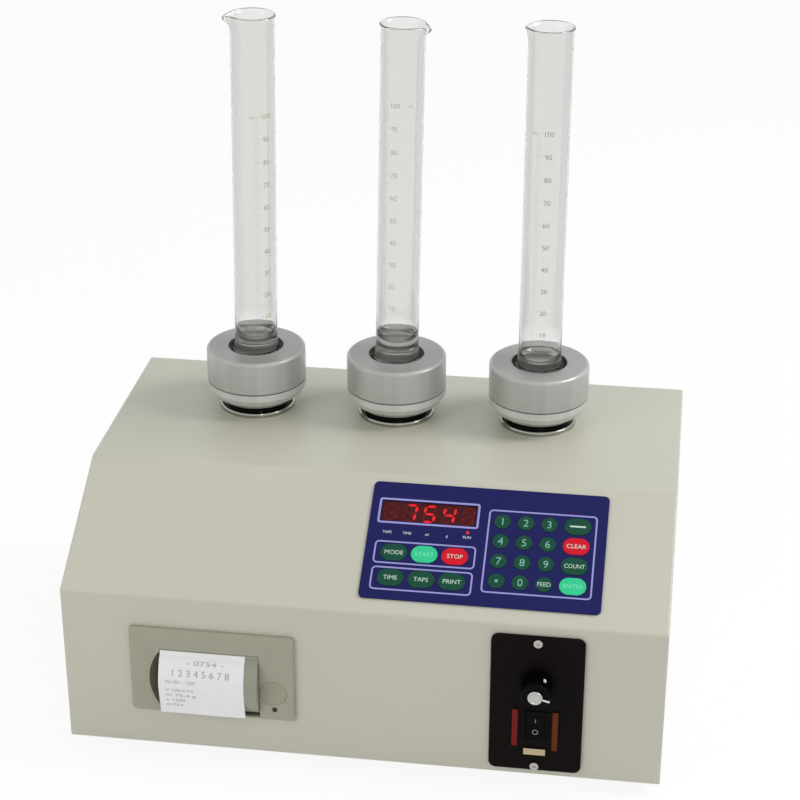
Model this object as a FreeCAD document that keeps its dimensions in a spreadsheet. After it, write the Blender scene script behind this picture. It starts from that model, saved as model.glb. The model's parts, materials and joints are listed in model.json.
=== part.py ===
import FreeCAD, Part
import os
import re
from math import cos, radians, sin

import Sketcher

# Benchtop tap density tester with three stations.
#
# Frame: millimetres, +Z up, +Y to the rear, +X to the operator's right.  The origin lies on the
# bench under the middle of the outline.  A station is a glass cylinder clamped on a platform;
# a snail cam on the shaft below lifts each platform by 3 mm and lets it fall on its anvil pad.

V = FreeCAD.Vector

SIZES = {
    # painted steel case
    "case_width": 400,
    "case_depth": 254,
    "front_height": 114.5,
    "slope_length": 107,
    "slope_angle": 30,
    "sheet_thick": 1.5,
    "bend_radius": 3,
    "lip_width": 12,
    "panel_play": 0.2,
    "tray_thick": 2,
    "tray_upstand": 12,
    # rubber feet
    "foot_height": 10,
    "foot_radius": 10,
    "foot_taper": 1.5,
    "foot_inset": 32,
    "foot_bore": 3.2,
    # stations
    "station_middle": -2.7,
    "station_pitch": 101.3,
    "station_inset": 64.6,
    "flange_radius": 27.1,
    "flange_thick": 3.3,
    "flange_round": 1.4,
    "sleeve_radius": 13,
    "sleeve_tail": 6,
    "pad_radius": 24,
    "pad_thick": 5.4,
    "pad_bore": 9,
    "rod_radius": 6,
    "rod_play": 0.1,
    "rod_tip_radius": 4.5,
    "rod_tip_taper": 2,
    "rod_seat": 11,
    "rest_gap": 0.1,
    # platforms, clamp rings and glass feet
    "platform_low_radius": 26.5,
    "platform_radius": 35.2,
    "platform_mid_radius": 32.2,
    "platform_mid": 3,
    "platform_cone": 7.6,
    "platform_rim": 4.7,
    "boss_radius": 28.6,
    "boss_height": 7,
    "ring_gap": 1,
    "ring_height": 23.6,
    "ring_round": 2.6,
    "ring_play": 0.3,
    "ring_hole": 19.5,
    "glass_foot_radius": 27.5,
    "glass_foot_side": 9.4,
    "glass_foot_height": 12.5,
    "glass_foot_top": 20,
    # measuring cylinders
    "cylinder_height": 258.4,
    "stem_radius": 15,
    "glass_wall": 1,
    "stem_fillet": 3.6,
    "solid_left": 28,
    "solid_middle": 33,
    "solid_right": 25.5,
    "bead_radius": 16.1,
    "bead_height": 2.4,
    "spout_reach": 21,
    "spout_radius": 5.6,
    "spout_depth": 9.5,
    "spout_root_radius": 2.6,
    "spout_left_turn": 190,
    "spout_middle_turn": -15,
    "spout_right_turn": 165,
    # camshaft and its bearings
    "shaft_height": 75,
    "shaft_radius": 6,
    "shaft_play": 0.1,
    "journal_radius": 5,
    "journal_length": 18,
    "cam_base_radius": 15,
    "cam_rise": 3,
    "cam_width": 10,
    "cam_hub_radius": 10,
    "cam_hub_length": 7,
    "disc_radius": 24,
    "disc_thick": 1.5,
    "disc_offset": 9,
    "bearing_radius": 14,
    "bearing_flange_radius": 16,
    "bearing_flange": 1.5,
    # mechanism frame
    "frame_plate": 8,
    "frame_width": 56,
    "frame_left_reach": 20,
    "frame_right_reach": 19.4,
    "cheek_thick": 8,
    "cheek_foot": 14,
    # gear motor
    "gearbox_size": 60,
    "gearbox_length": 26,
    "gearbox_round": 5,
    "motor_radius": 28,
    "motor_length": 44,
    "motor_cap_radius": 20,
    "motor_cap": 3,
    "gearbox_drop": 8,
    # tap sensor
    "sensor_width": 12,
    "sensor_height": 18,
    "sensor_arm": 4,
    "sensor_play": 1,
    # membrane panel on the slope
    "overlay_inset": 44.5,
    "overlay_low": 11.1,
    "overlay_width": 157.7,
    "overlay_height": 89.1,
    "overlay_thick": 1.2,
    "overlay_corner": 3.5,
    "window_left": 7.3,
    "window_low": 59,
    "window_width": 63.6,
    "window_height": 15.5,
    "window_sink": 0.2,
    # keys
    "key_radius": 5.4,
    "wide_key_length": 17.5,
    "wide_key_width": 12.5,
    "key_play": 0.25,
    "key_float": 0.45,
    "key_raise": 0.3,
    "pad_column": 88.6,
    "pad_column_pitch": 15.5,
    "pad_wide_gap": 4.55,
    "pad_row": 64.1,
    "pad_row_pitch": 15,
    "function_column": 19.4,
    "function_column_pitch": 20.2,
    "function_row": 35,
    "function_row_pitch": 19,
    # control board behind the slope
    "board_width": 146,
    "board_height": 78,
    "board_thick": 1.6,
    "board_drop": 12,
    "board_post_radius": 3,
    "board_post_inset": 6,
    "digit_block_play": 0.5,
    # speed controller
    "plate_inset": 52.5,
    "plate_low": 4.6,
    "plate_width": 61,
    "plate_height": 103,
    "plate_thick": 2.5,
    "plate_corner": 5,
    "plate_edge": 0.5,
    "body_margin": 4,
    "body_upright_margin": 9,
    "body_depth": 58,
    "plate_screw_pitch": 95,
    # speed knob
    "knob_lift": 66.9,
    "knob_length": 15,
    "knob_radius": 11.5,
    "knob_top_radius": 9.5,
    "knob_skirt": 2.5,
    "knob_gap": 0.3,
    "knob_cap_radius": 5.3,
    "knob_cap": 0.8,
    "knob_shaft_radius": 3,
    "knob_shaft_play": 0.1,
    "knob_shaft_length": 14,
    "knob_flute_radius": 1.1,
    "knob_flutes": 16,
    # power rocker
    "rocker_lift": 35.4,
    "rocker_width": 13,
    "rocker_length": 19,
    "rocker_play": 0.4,
    "rocker_tilt": 9,
    "rocker_axle_sink": 2.5,
    "rocker_axle_radius": 1.5,
    "rocker_axle_reach": 1.2,
    "rocker_axle_play": 0.1,
    "rocker_end_relief": 0.4,
    "rocker_depth": 3,
    "rocker_rise": 2.4,
    "rocker_frame": 1.4,
    "rocker_frame_rise": 1.2,
    # printer bezel
    "bezel_inset": 46,
    "bezel_low": 27.5,
    "bezel_width": 111,
    "bezel_height": 64.5,
    "bezel_thick": 3.5,
    "bezel_corner": 2.5,
    "bezel_edge": 1.2,
    "mouth_inset": 11,
    "mouth_lift": 2,
    "mouth_width": 76.4,
    "mouth_height": 47.5,
    # printer door
    "finger_gap": 9.5,
    "scoop_reach": 7.7,
    "scoop_height": 44,
    "door_play": 0.4,
    "paper_slot": 2,
    "door_bulge": 8,
    "door_wall": 2,
    "door_end_wall": 2,
    "hinge_radius": 2,
    "hinge_pin_radius": 1,
    "hinge_pin_reach": 1.6,
    "hinge_play": 0.15,
    # print mechanism, roll and paper
    "bin_depth": 54,
    "bin_wall": 2,
    "bin_margin": 2,
    "roll_radius": 19,
    "roll_core": 6.5,
    "roll_width": 57,
    "roll_play": 0.1,
    "roll_depth": 26,
    "head_height": 4,
    "head_depth": 12,
    "head_back": 36,
    "paper_width": 57.5,
    "paper_thick": 0.35,
    "paper_shift": 3.35,
    "paper_high_turn": 38,
    "paper_low_turn": -12,
    "paper_head_low": 2,
    "paper_head_reach": 3.1,
    "paper_break": 7.35,
    "paper_break_reach": 8.65,
    "paper_drop": 2.3,
    "paper_end_reach": 5.85,
    # feed button
    "button_inset": 14.3,
    "button_lift": 21.3,
    "button_radius": 9,
    "button_play": 0.2,
    "button_flange": 1.2,
    "button_flange_thick": 1,
    "button_travel": 1,
    "switch_size": 9,
    "switch_play": 0.3,
    # rear panel and mains inlet
    "inlet_inset": 80,
    "inlet_z": 36,
    "inlet_reach": 2.5,
    "inlet_flange_width": 50,
    "inlet_flange_height": 28,
    "inlet_body_width": 28,
    "inlet_body_height": 21,
    "inlet_body_depth": 26,
    "inlet_socket_width": 24.6,
    "inlet_socket_height": 16.6,
    "inlet_socket_depth": 19,
    "inlet_pin_width": 2,
    "inlet_pin_height": 4,
    "inlet_pin_length": 14,
    "inlet_pin_pitch": 7,
    "inlet_earth_lift": 3.5,
    "vent_width": 3,
    "vent_height": 46,
    "vent_pitch": 8,
    "vent_count": 10,
    "vent_inset": 50,
    "vent_low": 90,
    # screws
    "screw_radius": 1.5,
    "screw_head_radius": 2.9,
    "screw_head": 1.6,
    "screw_socket": 1.2,
    "socket_depth": 0.9,
    "screw_length": 5,
    "rear_screw_inset": 7.5,
}

# Places that follow from the sizes above.  Each is an expression in the names of the sheet.
DERIVED = {
    "knob_reach": "plate_thick + knob_length",
    "front_y": "(knob_reach - inlet_reach - case_depth) / 2",
    "rear_y": "front_y + case_depth",
    "rise": "slope_length * sin(slope_angle * 1deg)",
    "run": "slope_length * cos(slope_angle * 1deg)",
    "bend_z": "foot_height + front_height",
    "deck_z": "bend_z + rise",
    "inner_bend_drop": "sheet_thick * tan((90 - slope_angle) / 2 * 1deg)",
    "inner_deck_shift": "sheet_thick * tan(slope_angle / 2 * 1deg)",
    "tray_z": "foot_height + sheet_thick",
    "tray_top": "tray_z + tray_thick",
    "station_y": "rear_y - station_inset",
    "shaft_z": "foot_height + shaft_height",
    "frame_top": "deck_z - sheet_thick",
    "frame_low": "frame_top - frame_plate",
    "pad_top": "deck_z + flange_thick + pad_thick",
    "platform_z": "pad_top + rest_gap",
    "platform_top": "platform_z + platform_cone + platform_rim",
    "boss_top": "platform_top + boss_height",
    "glass_z": "boss_top + rest_gap",
    "ring_z": "platform_top + ring_gap",
    "ring_shoulder": "glass_z + glass_foot_height + rest_gap",
    "ring_cavity": "boss_radius + ring_play",
    "bore_radius": "stem_radius - glass_wall",
    "rod_low": "shaft_z + cam_base_radius + rest_gap",
    "frame_left": "station_middle - station_pitch - frame_left_reach",
    "frame_right": "station_middle + station_pitch + frame_right_reach",
    "gearbox_x": "frame_right + cheek_thick / 2",
    "sensor_reach": "disc_radius - cam_base_radius - cam_rise - sensor_play",
    "overlay_left": "case_width / 2 - overlay_inset - overlay_width",
    "pad_wide_column": "pad_column + 2 * pad_column_pitch + key_radius + pad_wide_gap + wide_key_length / 2",
    "plate_left": "case_width / 2 - plate_inset - plate_width",
    "plate_mid": "plate_left + plate_width / 2",
    "plate_y": "front_y - plate_thick",
    "rocker_frame_y": "plate_y - rocker_frame_rise",
    "rocker_axle_y": "plate_y + rocker_axle_sink",
    "rocker_z": "foot_height + plate_low + rocker_lift",
    "rocker_hole_width": "rocker_width + 2 * rocker_play",
    "rocker_hole_height": "rocker_length + 2 * rocker_play",
    "knob_z": "foot_height + plate_low + knob_lift",
    "bezel_y": "front_y - bezel_thick",
    "bezel_left": "bezel_inset - case_width / 2",
    "mouth_left": "bezel_left + mouth_inset",
    "mouth_z": "foot_height + bezel_low + mouth_lift",
    "mouth_top": "mouth_z + mouth_height",
    "door_left": "mouth_left + finger_gap + door_play",
    "door_right": "mouth_left + mouth_width - door_play",
    "door_width": "door_right - door_left",
    "door_low": "mouth_z + paper_slot",
    "hinge_z": "mouth_top - hinge_play - hinge_radius",
    "hinge_y": "bezel_y + hinge_radius",
    "door_chord": "hinge_z - door_low",
    "paper_mid": "(door_left + door_right - door_end_wall) / 2 - paper_shift",
    "roll_y": "front_y + roll_depth",
    "roll_z": "mouth_z + mouth_height / 2",
    "button_x": "bezel_left + bezel_width - button_inset",
    "button_height": "foot_height + bezel_low + button_lift",
    "inlet_x": "case_width / 2 - inlet_inset",
    "vent_left": "vent_inset - case_width / 2",
    "inlet_height": "foot_height + inlet_z",
    "rear_panel_z": "foot_height + sheet_thick",
}

STATIONS = {
    "left": "station_middle - station_pitch",
    "middle": "station_middle",
    "right": "station_middle + station_pitch",
}

# Keys of the membrane panel: name, column place, row place, and whether the key is a wide one.
NUMBER_ROWS = [
    ["key_1", "key_2", "key_3", "key_minus"],
    ["key_4", "key_5", "key_6", "key_clear"],
    ["key_7", "key_8", "key_9", "key_count"],
    ["key_point", "key_0", "key_paper", "key_enter"],
]
FUNCTION_ROWS = [
    ["key_mode", "key_start", "key_stop"],
    ["key_time", "key_taps", "key_print"],
]

SNAIL_RISE_TURN = 300
SNAIL_DWELL_TURN = 306
SNAIL_FLANK_TURN = 325
FULL_TURN = 360

doc = FreeCAD.newDocument("tap_density_tester")
sheet = doc.addObject("Spreadsheet::Sheet", "Sizes")
nodes = []


def fill_sheet():
    """Write each size as text in its own cell, under its name."""
    for line, (name, size) in enumerate(SIZES.items(), start=1):
        sheet.set("A%d" % line, name)
        sheet.set("B%d" % line, str(size))
        sheet.setAlias("B%d" % line, name)
    doc.recompute()


def bound(text):
    """Turn an expression in plain names into one that reads the sheet."""
    def swap(found):
        word = found.group(0)
        if word in DERIVED:
            return "(" + bound(DERIVED[word]) + ")"
        return "Sizes." + word if word in SIZES else word
    return re.sub(r"[a-z][a-z_]*", swap, str(text))


def value(text):
    """The number that an expression has now."""
    return float(sheet.evalExpression(bound(text)))


def node(item, name):
    """Keep a finished sub-part under the name of its own file."""
    item.Label = name
    nodes.append((item, name))
    return item


def put(item, x="0", y="0", z="0"):
    item.setExpression("Placement.Base.x", bound(x))
    item.setExpression("Placement.Base.y", bound(y))
    item.setExpression("Placement.Base.z", bound(z))
    return item


def turn(item, axis, angle):
    item.Placement = FreeCAD.Placement(V(0, 0, 0), FreeCAD.Rotation(V(*axis), 1))
    item.setExpression("Placement.Rotation.Angle", bound(angle))
    return item


def on_slope(item, along="0", up="0", lift="0"):
    """Lay a piece, modelled flat, on the slope: its x along the case and its y up the slope."""
    turn(item, (1, 0, 0), "slope_angle")
    lean = "slope_angle * 1deg"
    put(item, along,
        "front_y + (%s) * cos(%s) - (%s) * sin(%s)" % (up, lean, lift, lean),
        "bend_z + (%s) * sin(%s) + (%s) * cos(%s)" % (up, lean, lift, lean))
    return item


def box(name, x, y, z, length, width, height):
    item = doc.addObject("Part::Box", name)
    item.setExpression("Length", bound(length))
    item.setExpression("Width", bound(width))
    item.setExpression("Height", bound(height))
    return put(item, x, y, z)


AXES = {"z": ((0, 0, 1), 0), "x": ((0, 1, 0), 90), "front": ((1, 0, 0), 90), "rear": ((1, 0, 0), -90)}


def point_along(item, axis):
    """Aim a round piece: up, along +X, to the front or to the rear."""
    direction, angle = AXES[axis]
    item.Placement = FreeCAD.Placement(V(0, 0, 0), FreeCAD.Rotation(V(*direction), angle))
    return item


def cylinder(name, x, y, z, radius, height, axis="z"):
    item = doc.addObject("Part::Cylinder", name)
    item.setExpression("Radius", bound(radius))
    item.setExpression("Height", bound(height))
    point_along(item, axis)
    return put(item, x, y, z)


def fuse(name, pieces):
    item = doc.addObject("Part::MultiFuse", name)
    item.Shapes = pieces
    item.Refine = True
    return item


def cut(name, base, tools):
    item = doc.addObject("Part::Cut", name)
    item.Base = base
    item.Tool = tools[0] if len(tools) == 1 else fuse(name + "_tools", tools)
    item.Refine = True
    return item


def common(name, pieces):
    item = doc.addObject("Part::MultiCommon", name)
    item.Shapes = pieces
    return item


def group(name, pieces):
    item = doc.addObject("Part::Compound", name)
    item.Links = pieces
    return item


def sketch(body, plane, points):
    """A closed outline of straight lines in a body, every corner bound to the sheet."""
    drawing = body.newObject("Sketcher::SketchObject", body.Name + "_outline")
    origin = [item for item in body.Origin.OriginFeatures if item.Role == plane][0]
    drawing.AttachmentSupport = [(origin, "")]
    drawing.MapMode = "FlatFace"
    corners = [V(value(across), value(upward), 0) for across, upward in points]
    count = len(corners)
    for place in range(count):
        drawing.addGeometry(Part.LineSegment(corners[place], corners[(place + 1) % count]))
    for place in range(count):
        drawing.addConstraint(Sketcher.Constraint("Coincident", place, 2, (place + 1) % count, 1))
    for place, (across, upward) in enumerate(points):
        for kind, text, now in (("DistanceX", across, corners[place].x),
                                ("DistanceY", upward, corners[place].y)):
            rule = drawing.addConstraint(Sketcher.Constraint(kind, -1, 1, place, 1, now))
            drawing.setExpression("Constraints[%d]" % rule, bound(text))
    return drawing


def padded(name, plane, points, depth, middle=False):
    """A body that is one outline pushed out of its plane."""
    body = doc.addObject("PartDesign::Body", name)
    pad = body.newObject("PartDesign::Pad", name + "_pad")
    pad.Profile = sketch(body, plane, points)
    pad.setExpression("Length", bound(depth))
    if middle:
        pad.SideType = "Symmetric"
    body.Tip = pad
    doc.recompute()
    return body


def revolved(name, points):
    """A body that is one outline, radius and height, turned about its own Z axis."""
    body = doc.addObject("PartDesign::Body", name)
    drawing = sketch(body, "XZ_Plane", points)
    turned = body.newObject("PartDesign::Revolution", name + "_turned")
    turned.Profile = drawing
    turned.ReferenceAxis = (drawing, ["V_Axis"])
    turned.Angle = 360
    body.Tip = turned
    doc.recompute()
    return body


def circle_edges(shape, radius, height):
    """Names of the full circles of one radius at one height of a turned shape."""
    found = []
    for place, edge in enumerate(shape.Edges, start=1):
        if not hasattr(edge.Curve, "Radius") or not hasattr(edge.Curve, "Center"):
            continue
        if abs(edge.Curve.Radius - radius) < 0.001 and abs(edge.Curve.Center.z - height) < 0.001:
            found.append("Edge%d" % place)
    return found


def straight_edges(shape, direction, keep):
    """Names of the straight edges that run one way and that keep(point) accepts."""
    found = []
    for place, edge in enumerate(shape.Edges, start=1):
        if len(edge.Vertexes) != 2:
            continue
        start, end = (corner.Point for corner in edge.Vertexes)
        along = (end - start).normalize()
        if abs(abs(along.dot(V(*direction))) - 1) < 0.0001 and keep((start + end) * 0.5):
            found.append("Edge%d" % place)
    return found


def edges_at(shape, height):
    """Names of the edges that lie at one height of a flat piece."""
    return ["Edge%d" % place for place, edge in enumerate(shape.Edges, start=1)
            if abs(edge.BoundBox.ZMin - height) < 0.001 and abs(edge.BoundBox.ZMax - height) < 0.001]


def dress(body, kind, edges, size_name, size):
    """Add a Fillet or Chamfer to a body's last feature."""
    below = body.Tip
    feature = body.newObject("PartDesign::" + kind, body.Name + "_" + kind.lower())
    feature.Base = (below, edges)
    feature.setExpression(size_name, bound(size))
    body.Tip = feature
    doc.recompute()
    return body


def rounded_plate(name, width, height, thick, corner):
    """A flat plate from its lower left corner, in XY, with rounded corners."""
    outline = [("0", "0"), (width, "0"), (width, height), ("0", height)]
    body = padded(name, "XY_Plane", outline, thick)
    edges = straight_edges(body.Shape, (0, 0, 1), lambda point: True)
    return dress(body, "Fillet", edges, "Radius", corner)


def obround(name, x, y, z, length, width, height):
    """A bar with round ends, centred on x and y."""
    half = "(%s) / 2" % width
    shift = "((%s) - (%s)) / 2" % (length, width)
    ends = [cylinder(name + "_end_%d" % side, "(%s) + %d * (%s)" % (x, side, shift), y, z, half, height)
            for side in (-1, 1)]
    middle = box(name + "_middle", "(%s) - (%s)" % (x, shift), "(%s) - (%s)" % (y, half), z,
                 "2 * (%s)" % shift, width, height)
    return fuse(name, ends + [middle])


def key_places():
    """Every key with its place on the overlay and whether it is wide."""
    places = []
    for line, names in enumerate(NUMBER_ROWS):
        for column, name in enumerate(names):
            along = "pad_wide_column" if column == 3 else "pad_column + %d * pad_column_pitch" % column
            places.append((name, along, "pad_row - %d * pad_row_pitch" % line, column == 3))
    for line, names in enumerate(FUNCTION_ROWS):
        for column, name in enumerate(names):
            along = "function_column + %d * function_column_pitch" % column
            places.append((name, along, "function_row - %d * function_row_pitch" % line, True))
    return places


def case_profile(side):
    """Outline of the case seen from the side: outer face, or inner face one sheet in."""
    if side == "outer":
        return [("front_y", "foot_height"), ("front_y", "bend_z"), ("front_y + run", "deck_z"),
                ("rear_y", "deck_z"), ("rear_y", "foot_height")]
    return [("front_y + sheet_thick", "foot_height + sheet_thick"),
            ("front_y + sheet_thick", "bend_z - inner_bend_drop"),
            ("front_y + run + inner_deck_shift", "deck_z - sheet_thick"),
            ("rear_y - 2 * sheet_thick", "deck_z - sheet_thick"),
            ("rear_y - 2 * sheet_thick", "foot_height + sheet_thick")]


def housing_cover():
    """One folded sheet: front, slope, top and sides, with a lip all round its open faces."""
    outer = padded("cover_outer", "YZ_Plane", case_profile("outer"), "case_width", middle=True)
    front = value("front_y")
    run_end = value("front_y + run")
    top = value("deck_z")
    bend = value("bend_z")
    across = straight_edges(outer.Shape, (1, 0, 0), lambda point: point.z > bend - 1
                            and (abs(point.y - front) < 1 or abs(point.y - run_end) < 1))
    dress(outer, "Fillet", across, "Radius", "bend_radius")
    half = value("case_width / 2")
    sides = straight_edges(outer.Shape, (0, 1, 0), lambda point: abs(abs(point.x) - half) < 1
                           and point.z > top - 1)
    lean = (0, cos(radians(value("slope_angle"))), sin(radians(value("slope_angle"))))
    sides += straight_edges(outer.Shape, lean, lambda point: abs(abs(point.x) - half) < 1)
    sides += straight_edges(outer.Shape, (0, 0, 1), lambda point: abs(abs(point.x) - half) < 1
                            and abs(point.y - front) < 1)
    dress(outer, "Fillet", sides, "Radius", "bend_radius / 2")
    inner = padded("cover_inner", "YZ_Plane", case_profile("inner"),
                   "case_width - 2 * sheet_thick", middle=True)
    tools = [inner]
    tools.append(box("cover_bottom_mouth", "lip_width - case_width / 2", "front_y + lip_width",
                     "foot_height - 1", "case_width - 2 * lip_width", "case_depth - 2 * lip_width",
                     "sheet_thick + 2"))
    tools.append(box("cover_rear_mouth", "lip_width - case_width / 2", "rear_y - 3 * sheet_thick",
                     "foot_height + lip_width", "case_width - 2 * lip_width", "4 * sheet_thick",
                     "deck_z - foot_height - 2 * lip_width"))
    tools.append(box("cover_rear_recess", "sheet_thick - case_width / 2", "rear_y - sheet_thick",
                     "rear_panel_z", "case_width - 2 * sheet_thick", "2 * sheet_thick",
                     "deck_z - sheet_thick - rear_panel_z"))
    tools.append(box("cover_printer_mouth", "mouth_left - bin_margin", "front_y - 1",
                     "mouth_z - bin_margin", "bezel_left + bezel_width - mouth_left - bin_margin",
                     "sheet_thick + 2", "mouth_height + 2 * bin_margin"))
    tools.append(box("cover_controller_mouth", "plate_left + body_margin", "front_y - 1",
                     "foot_height + plate_low + body_upright_margin", "plate_width - 2 * body_margin",
                     "sheet_thick + 2", "plate_height - 2 * body_upright_margin"))
    display = box("cover_display_mouth", "overlay_left + window_left", "overlay_low + window_low",
                  "-2 * sheet_thick", "window_width", "window_height", "3 * sheet_thick")
    tools.append(on_slope(held("cover_display_tool", display)))
    for side, x in STATIONS.items():
        tools.append(cylinder("cover_hole_" + side, x, "station_y", "deck_z - 2 * sheet_thick",
                              "sleeve_radius", "3 * sheet_thick"))
    for place, (x, z) in enumerate(rear_screw_places()):
        tools.append(cylinder("cover_screw_%d" % place, x, "rear_y - 3 * sheet_thick", z,
                              "screw_radius", "4 * sheet_thick", "rear"))
    for place, z in enumerate(plate_screw_heights()):
        tools.append(cylinder("cover_plate_screw_%d" % place, "plate_mid", "front_y - 1", z,
                              "screw_radius", "sheet_thick + 2", "rear"))
    return node(cut("cover", outer, tools), "housing_cover")


def held(name, item):
    """One piece in a holder of its own, which can then be laid or turned as a whole."""
    return group(name, [item])


def rear_screw_places():
    """Rear panel screws: three along the top and three along the bottom."""
    across = ["rear_screw_inset - case_width / 2", "0", "case_width / 2 - rear_screw_inset"]
    upward = ["foot_height + rear_screw_inset", "deck_z - rear_screw_inset"]
    return [(x, z) for z in upward for x in across]


def plate_screw_heights():
    middle = "foot_height + plate_low + plate_height / 2"
    return [middle + " - plate_screw_pitch / 2", middle + " + plate_screw_pitch / 2"]


def base_tray():
    """Flat tray that lies on the lips of the cover, stiffened by two upstands."""
    x = "sheet_thick + panel_play - case_width / 2"
    y = "front_y + sheet_thick + panel_play"
    length = "case_width - 2 * (sheet_thick + panel_play)"
    width = "case_depth - 3 * sheet_thick - 2 * panel_play"
    floor = box("tray_floor", x, y, "tray_z", length, width, "tray_thick")
    front = box("tray_front", x, y, "tray_z", length, "sheet_thick", "tray_upstand")
    rear = box("tray_rear", x, "rear_y - 3 * sheet_thick - panel_play", "tray_z", length,
               "sheet_thick", "tray_upstand")
    plate = fuse("tray_plate", [floor, front, rear])
    holes = [cylinder("tray_hole_%d" % place, spot_x, spot_y, "tray_z - 1", "foot_bore",
                      "tray_thick + 2") for place, (spot_x, spot_y) in enumerate(foot_places())]
    holes += [cylinder("tray_rear_hole_%d" % place, spot_x, "rear_y - 4 * sheet_thick", spot_z,
                       "screw_radius", "4 * sheet_thick", "rear")
              for place, (spot_x, spot_z) in enumerate(rear_screw_places()[:3])]
    return node(cut("tray", plate, holes), "base_tray")


def foot_places():
    across = "case_width / 2 - foot_inset"
    return [(sign + "(" + across + ")", y) for sign in ("-", "") for y in
            ("front_y + foot_inset", "rear_y - foot_inset")]


def rubber_feet():
    """Four turned feet under the tray, each with a sunk hole for its screw."""
    feet = []
    for place, (x, y) in enumerate(foot_places()):
        outline = [("foot_bore", "0"), ("foot_radius - foot_taper", "0"),
                   ("foot_radius", "foot_height + sheet_thick"), ("foot_bore", "foot_height + sheet_thick")]
        feet.append(put(revolved("foot_%d" % place, outline), x, y, "0"))
    return node(group("feet", feet), "rubber_feet")


def guide_flanges():
    """Chromed flange on the deck, with the sleeve that guides the tappet rod."""
    pieces = []
    for side, x in STATIONS.items():
        tail = "-(sheet_thick + frame_plate + sleeve_tail)"
        outline = [("rod_radius + rod_play", tail), ("sleeve_radius", tail), ("sleeve_radius", "0"),
                   ("flange_radius", "0"), ("flange_radius", "flange_thick"),
                   ("rod_radius + rod_play", "flange_thick")]
        body = revolved("flange_" + side, outline)
        rim = circle_edges(body.Shape, value("flange_radius"), value("flange_thick"))
        dress(body, "Fillet", rim, "Radius", "flange_round")
        pieces.append(put(body, x, "station_y", "deck_z"))
    return node(group("flanges", pieces), "guide_flanges")


def anvil_pads():
    """Black pads that the platforms fall on."""
    pads = []
    for side, x in STATIONS.items():
        outline = [("pad_bore", "0"), ("pad_radius", "0"), ("pad_radius", "pad_thick"),
                   ("pad_bore", "pad_thick")]
        pads.append(put(revolved("pad_" + side, outline), x, "station_y", "deck_z + flange_thick"))
    return node(group("pads", pads), "anvil_pads")


def station(side, x):
    """Platform, tappet rod, clamp ring and measuring cylinder of one station."""
    seat = "rod_seat"
    platform = [("rod_radius", "0"), ("platform_low_radius", "0"),
                ("platform_mid_radius", "platform_mid"), ("platform_radius", "platform_cone"),
                ("platform_radius", "platform_cone + platform_rim"),
                ("boss_radius", "platform_cone + platform_rim"),
                ("boss_radius", "platform_cone + platform_rim + boss_height"),
                ("0", "platform_cone + platform_rim + boss_height"), ("0", seat), ("rod_radius", seat)]
    node(put(revolved("platform_" + side, platform), x, "station_y", "platform_z"),
         "holder_base_" + side)
    length = "platform_z + rod_seat - rod_low"
    rod = [("0", "0"), ("rod_tip_radius", "0"), ("rod_radius", "rod_tip_taper"),
           ("rod_radius", length), ("0", length)]
    node(put(revolved("rod_" + side, rod), x, "station_y", "rod_low"), "tappet_rod_" + side)
    ring = [("ring_cavity", "0"), ("platform_radius", "0"), ("platform_radius", "ring_height"),
            ("ring_hole", "ring_height"), ("ring_hole", "ring_shoulder - ring_z"),
            ("ring_cavity", "ring_shoulder - ring_z")]
    body = revolved("ring_" + side, ring)
    rim = circle_edges(body.Shape, value("platform_radius"), value("ring_height"))
    dress(body, "Fillet", rim, "Radius", "ring_round")
    node(put(body, x, "station_y", "ring_z"), "clamp_ring_" + side)
    measuring_cylinder(side, x)


def measuring_cylinder(side, x):
    """Glass cylinder with a solid foot, a bead round its rim and a drawn-out spout."""
    outline = [("0", "0"), ("glass_foot_radius", "0"), ("glass_foot_radius", "glass_foot_side"),
               ("glass_foot_top", "glass_foot_height"), ("stem_radius + stem_fillet", "glass_foot_height"),
               ("stem_radius + stem_fillet / 3", "glass_foot_height + stem_fillet"),
               ("stem_radius", "glass_foot_height + 3 * stem_fillet"),
               ("stem_radius", "cylinder_height - bead_height"),
               ("bead_radius", "cylinder_height - bead_height * 2 / 3"),
               ("bead_radius", "cylinder_height - bead_height / 3"),
               ("stem_radius", "cylinder_height"), ("0", "cylinder_height")]
    glass = revolved("glass_" + side, outline)
    outer = spout("spout_outer_" + side, "0", "0")
    inner = spout("spout_inner_" + side, "glass_wall", "1")
    bore = cylinder("bore_" + side, "0", "0", "solid_%s" % side,
                    "bore_radius", "cylinder_height")
    vessel = cut("vessel_" + side, fuse("blank_" + side, [glass, outer]), [bore, inner])
    turn(vessel, (0, 0, 1), "spout_%s_turn" % side)
    node(put(vessel, x, "station_y", "glass_z"), "measuring_cylinder_" + side)


def spout(name, wall, lift):
    """Skewed cone along +X from the tube's wall out to the lip of the spout."""
    lip = doc.addObject("Part::Circle", name + "_lip")
    lip.setExpression("Radius", bound("spout_radius - (%s)" % wall))
    put(lip, "spout_reach - spout_radius", "0", "cylinder_height + (%s)" % lift)
    root = doc.addObject("Part::Circle", name + "_root")
    root.setExpression("Radius", bound("spout_root_radius - (%s)" % wall))
    put(root, "bore_radius - spout_root_radius", "0", "cylinder_height - spout_depth + (%s)" % lift)
    cone = doc.addObject("Part::Loft", name)
    cone.Sections = [root, lip]
    cone.Solid = True
    cone.Ruled = True
    return cone


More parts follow.
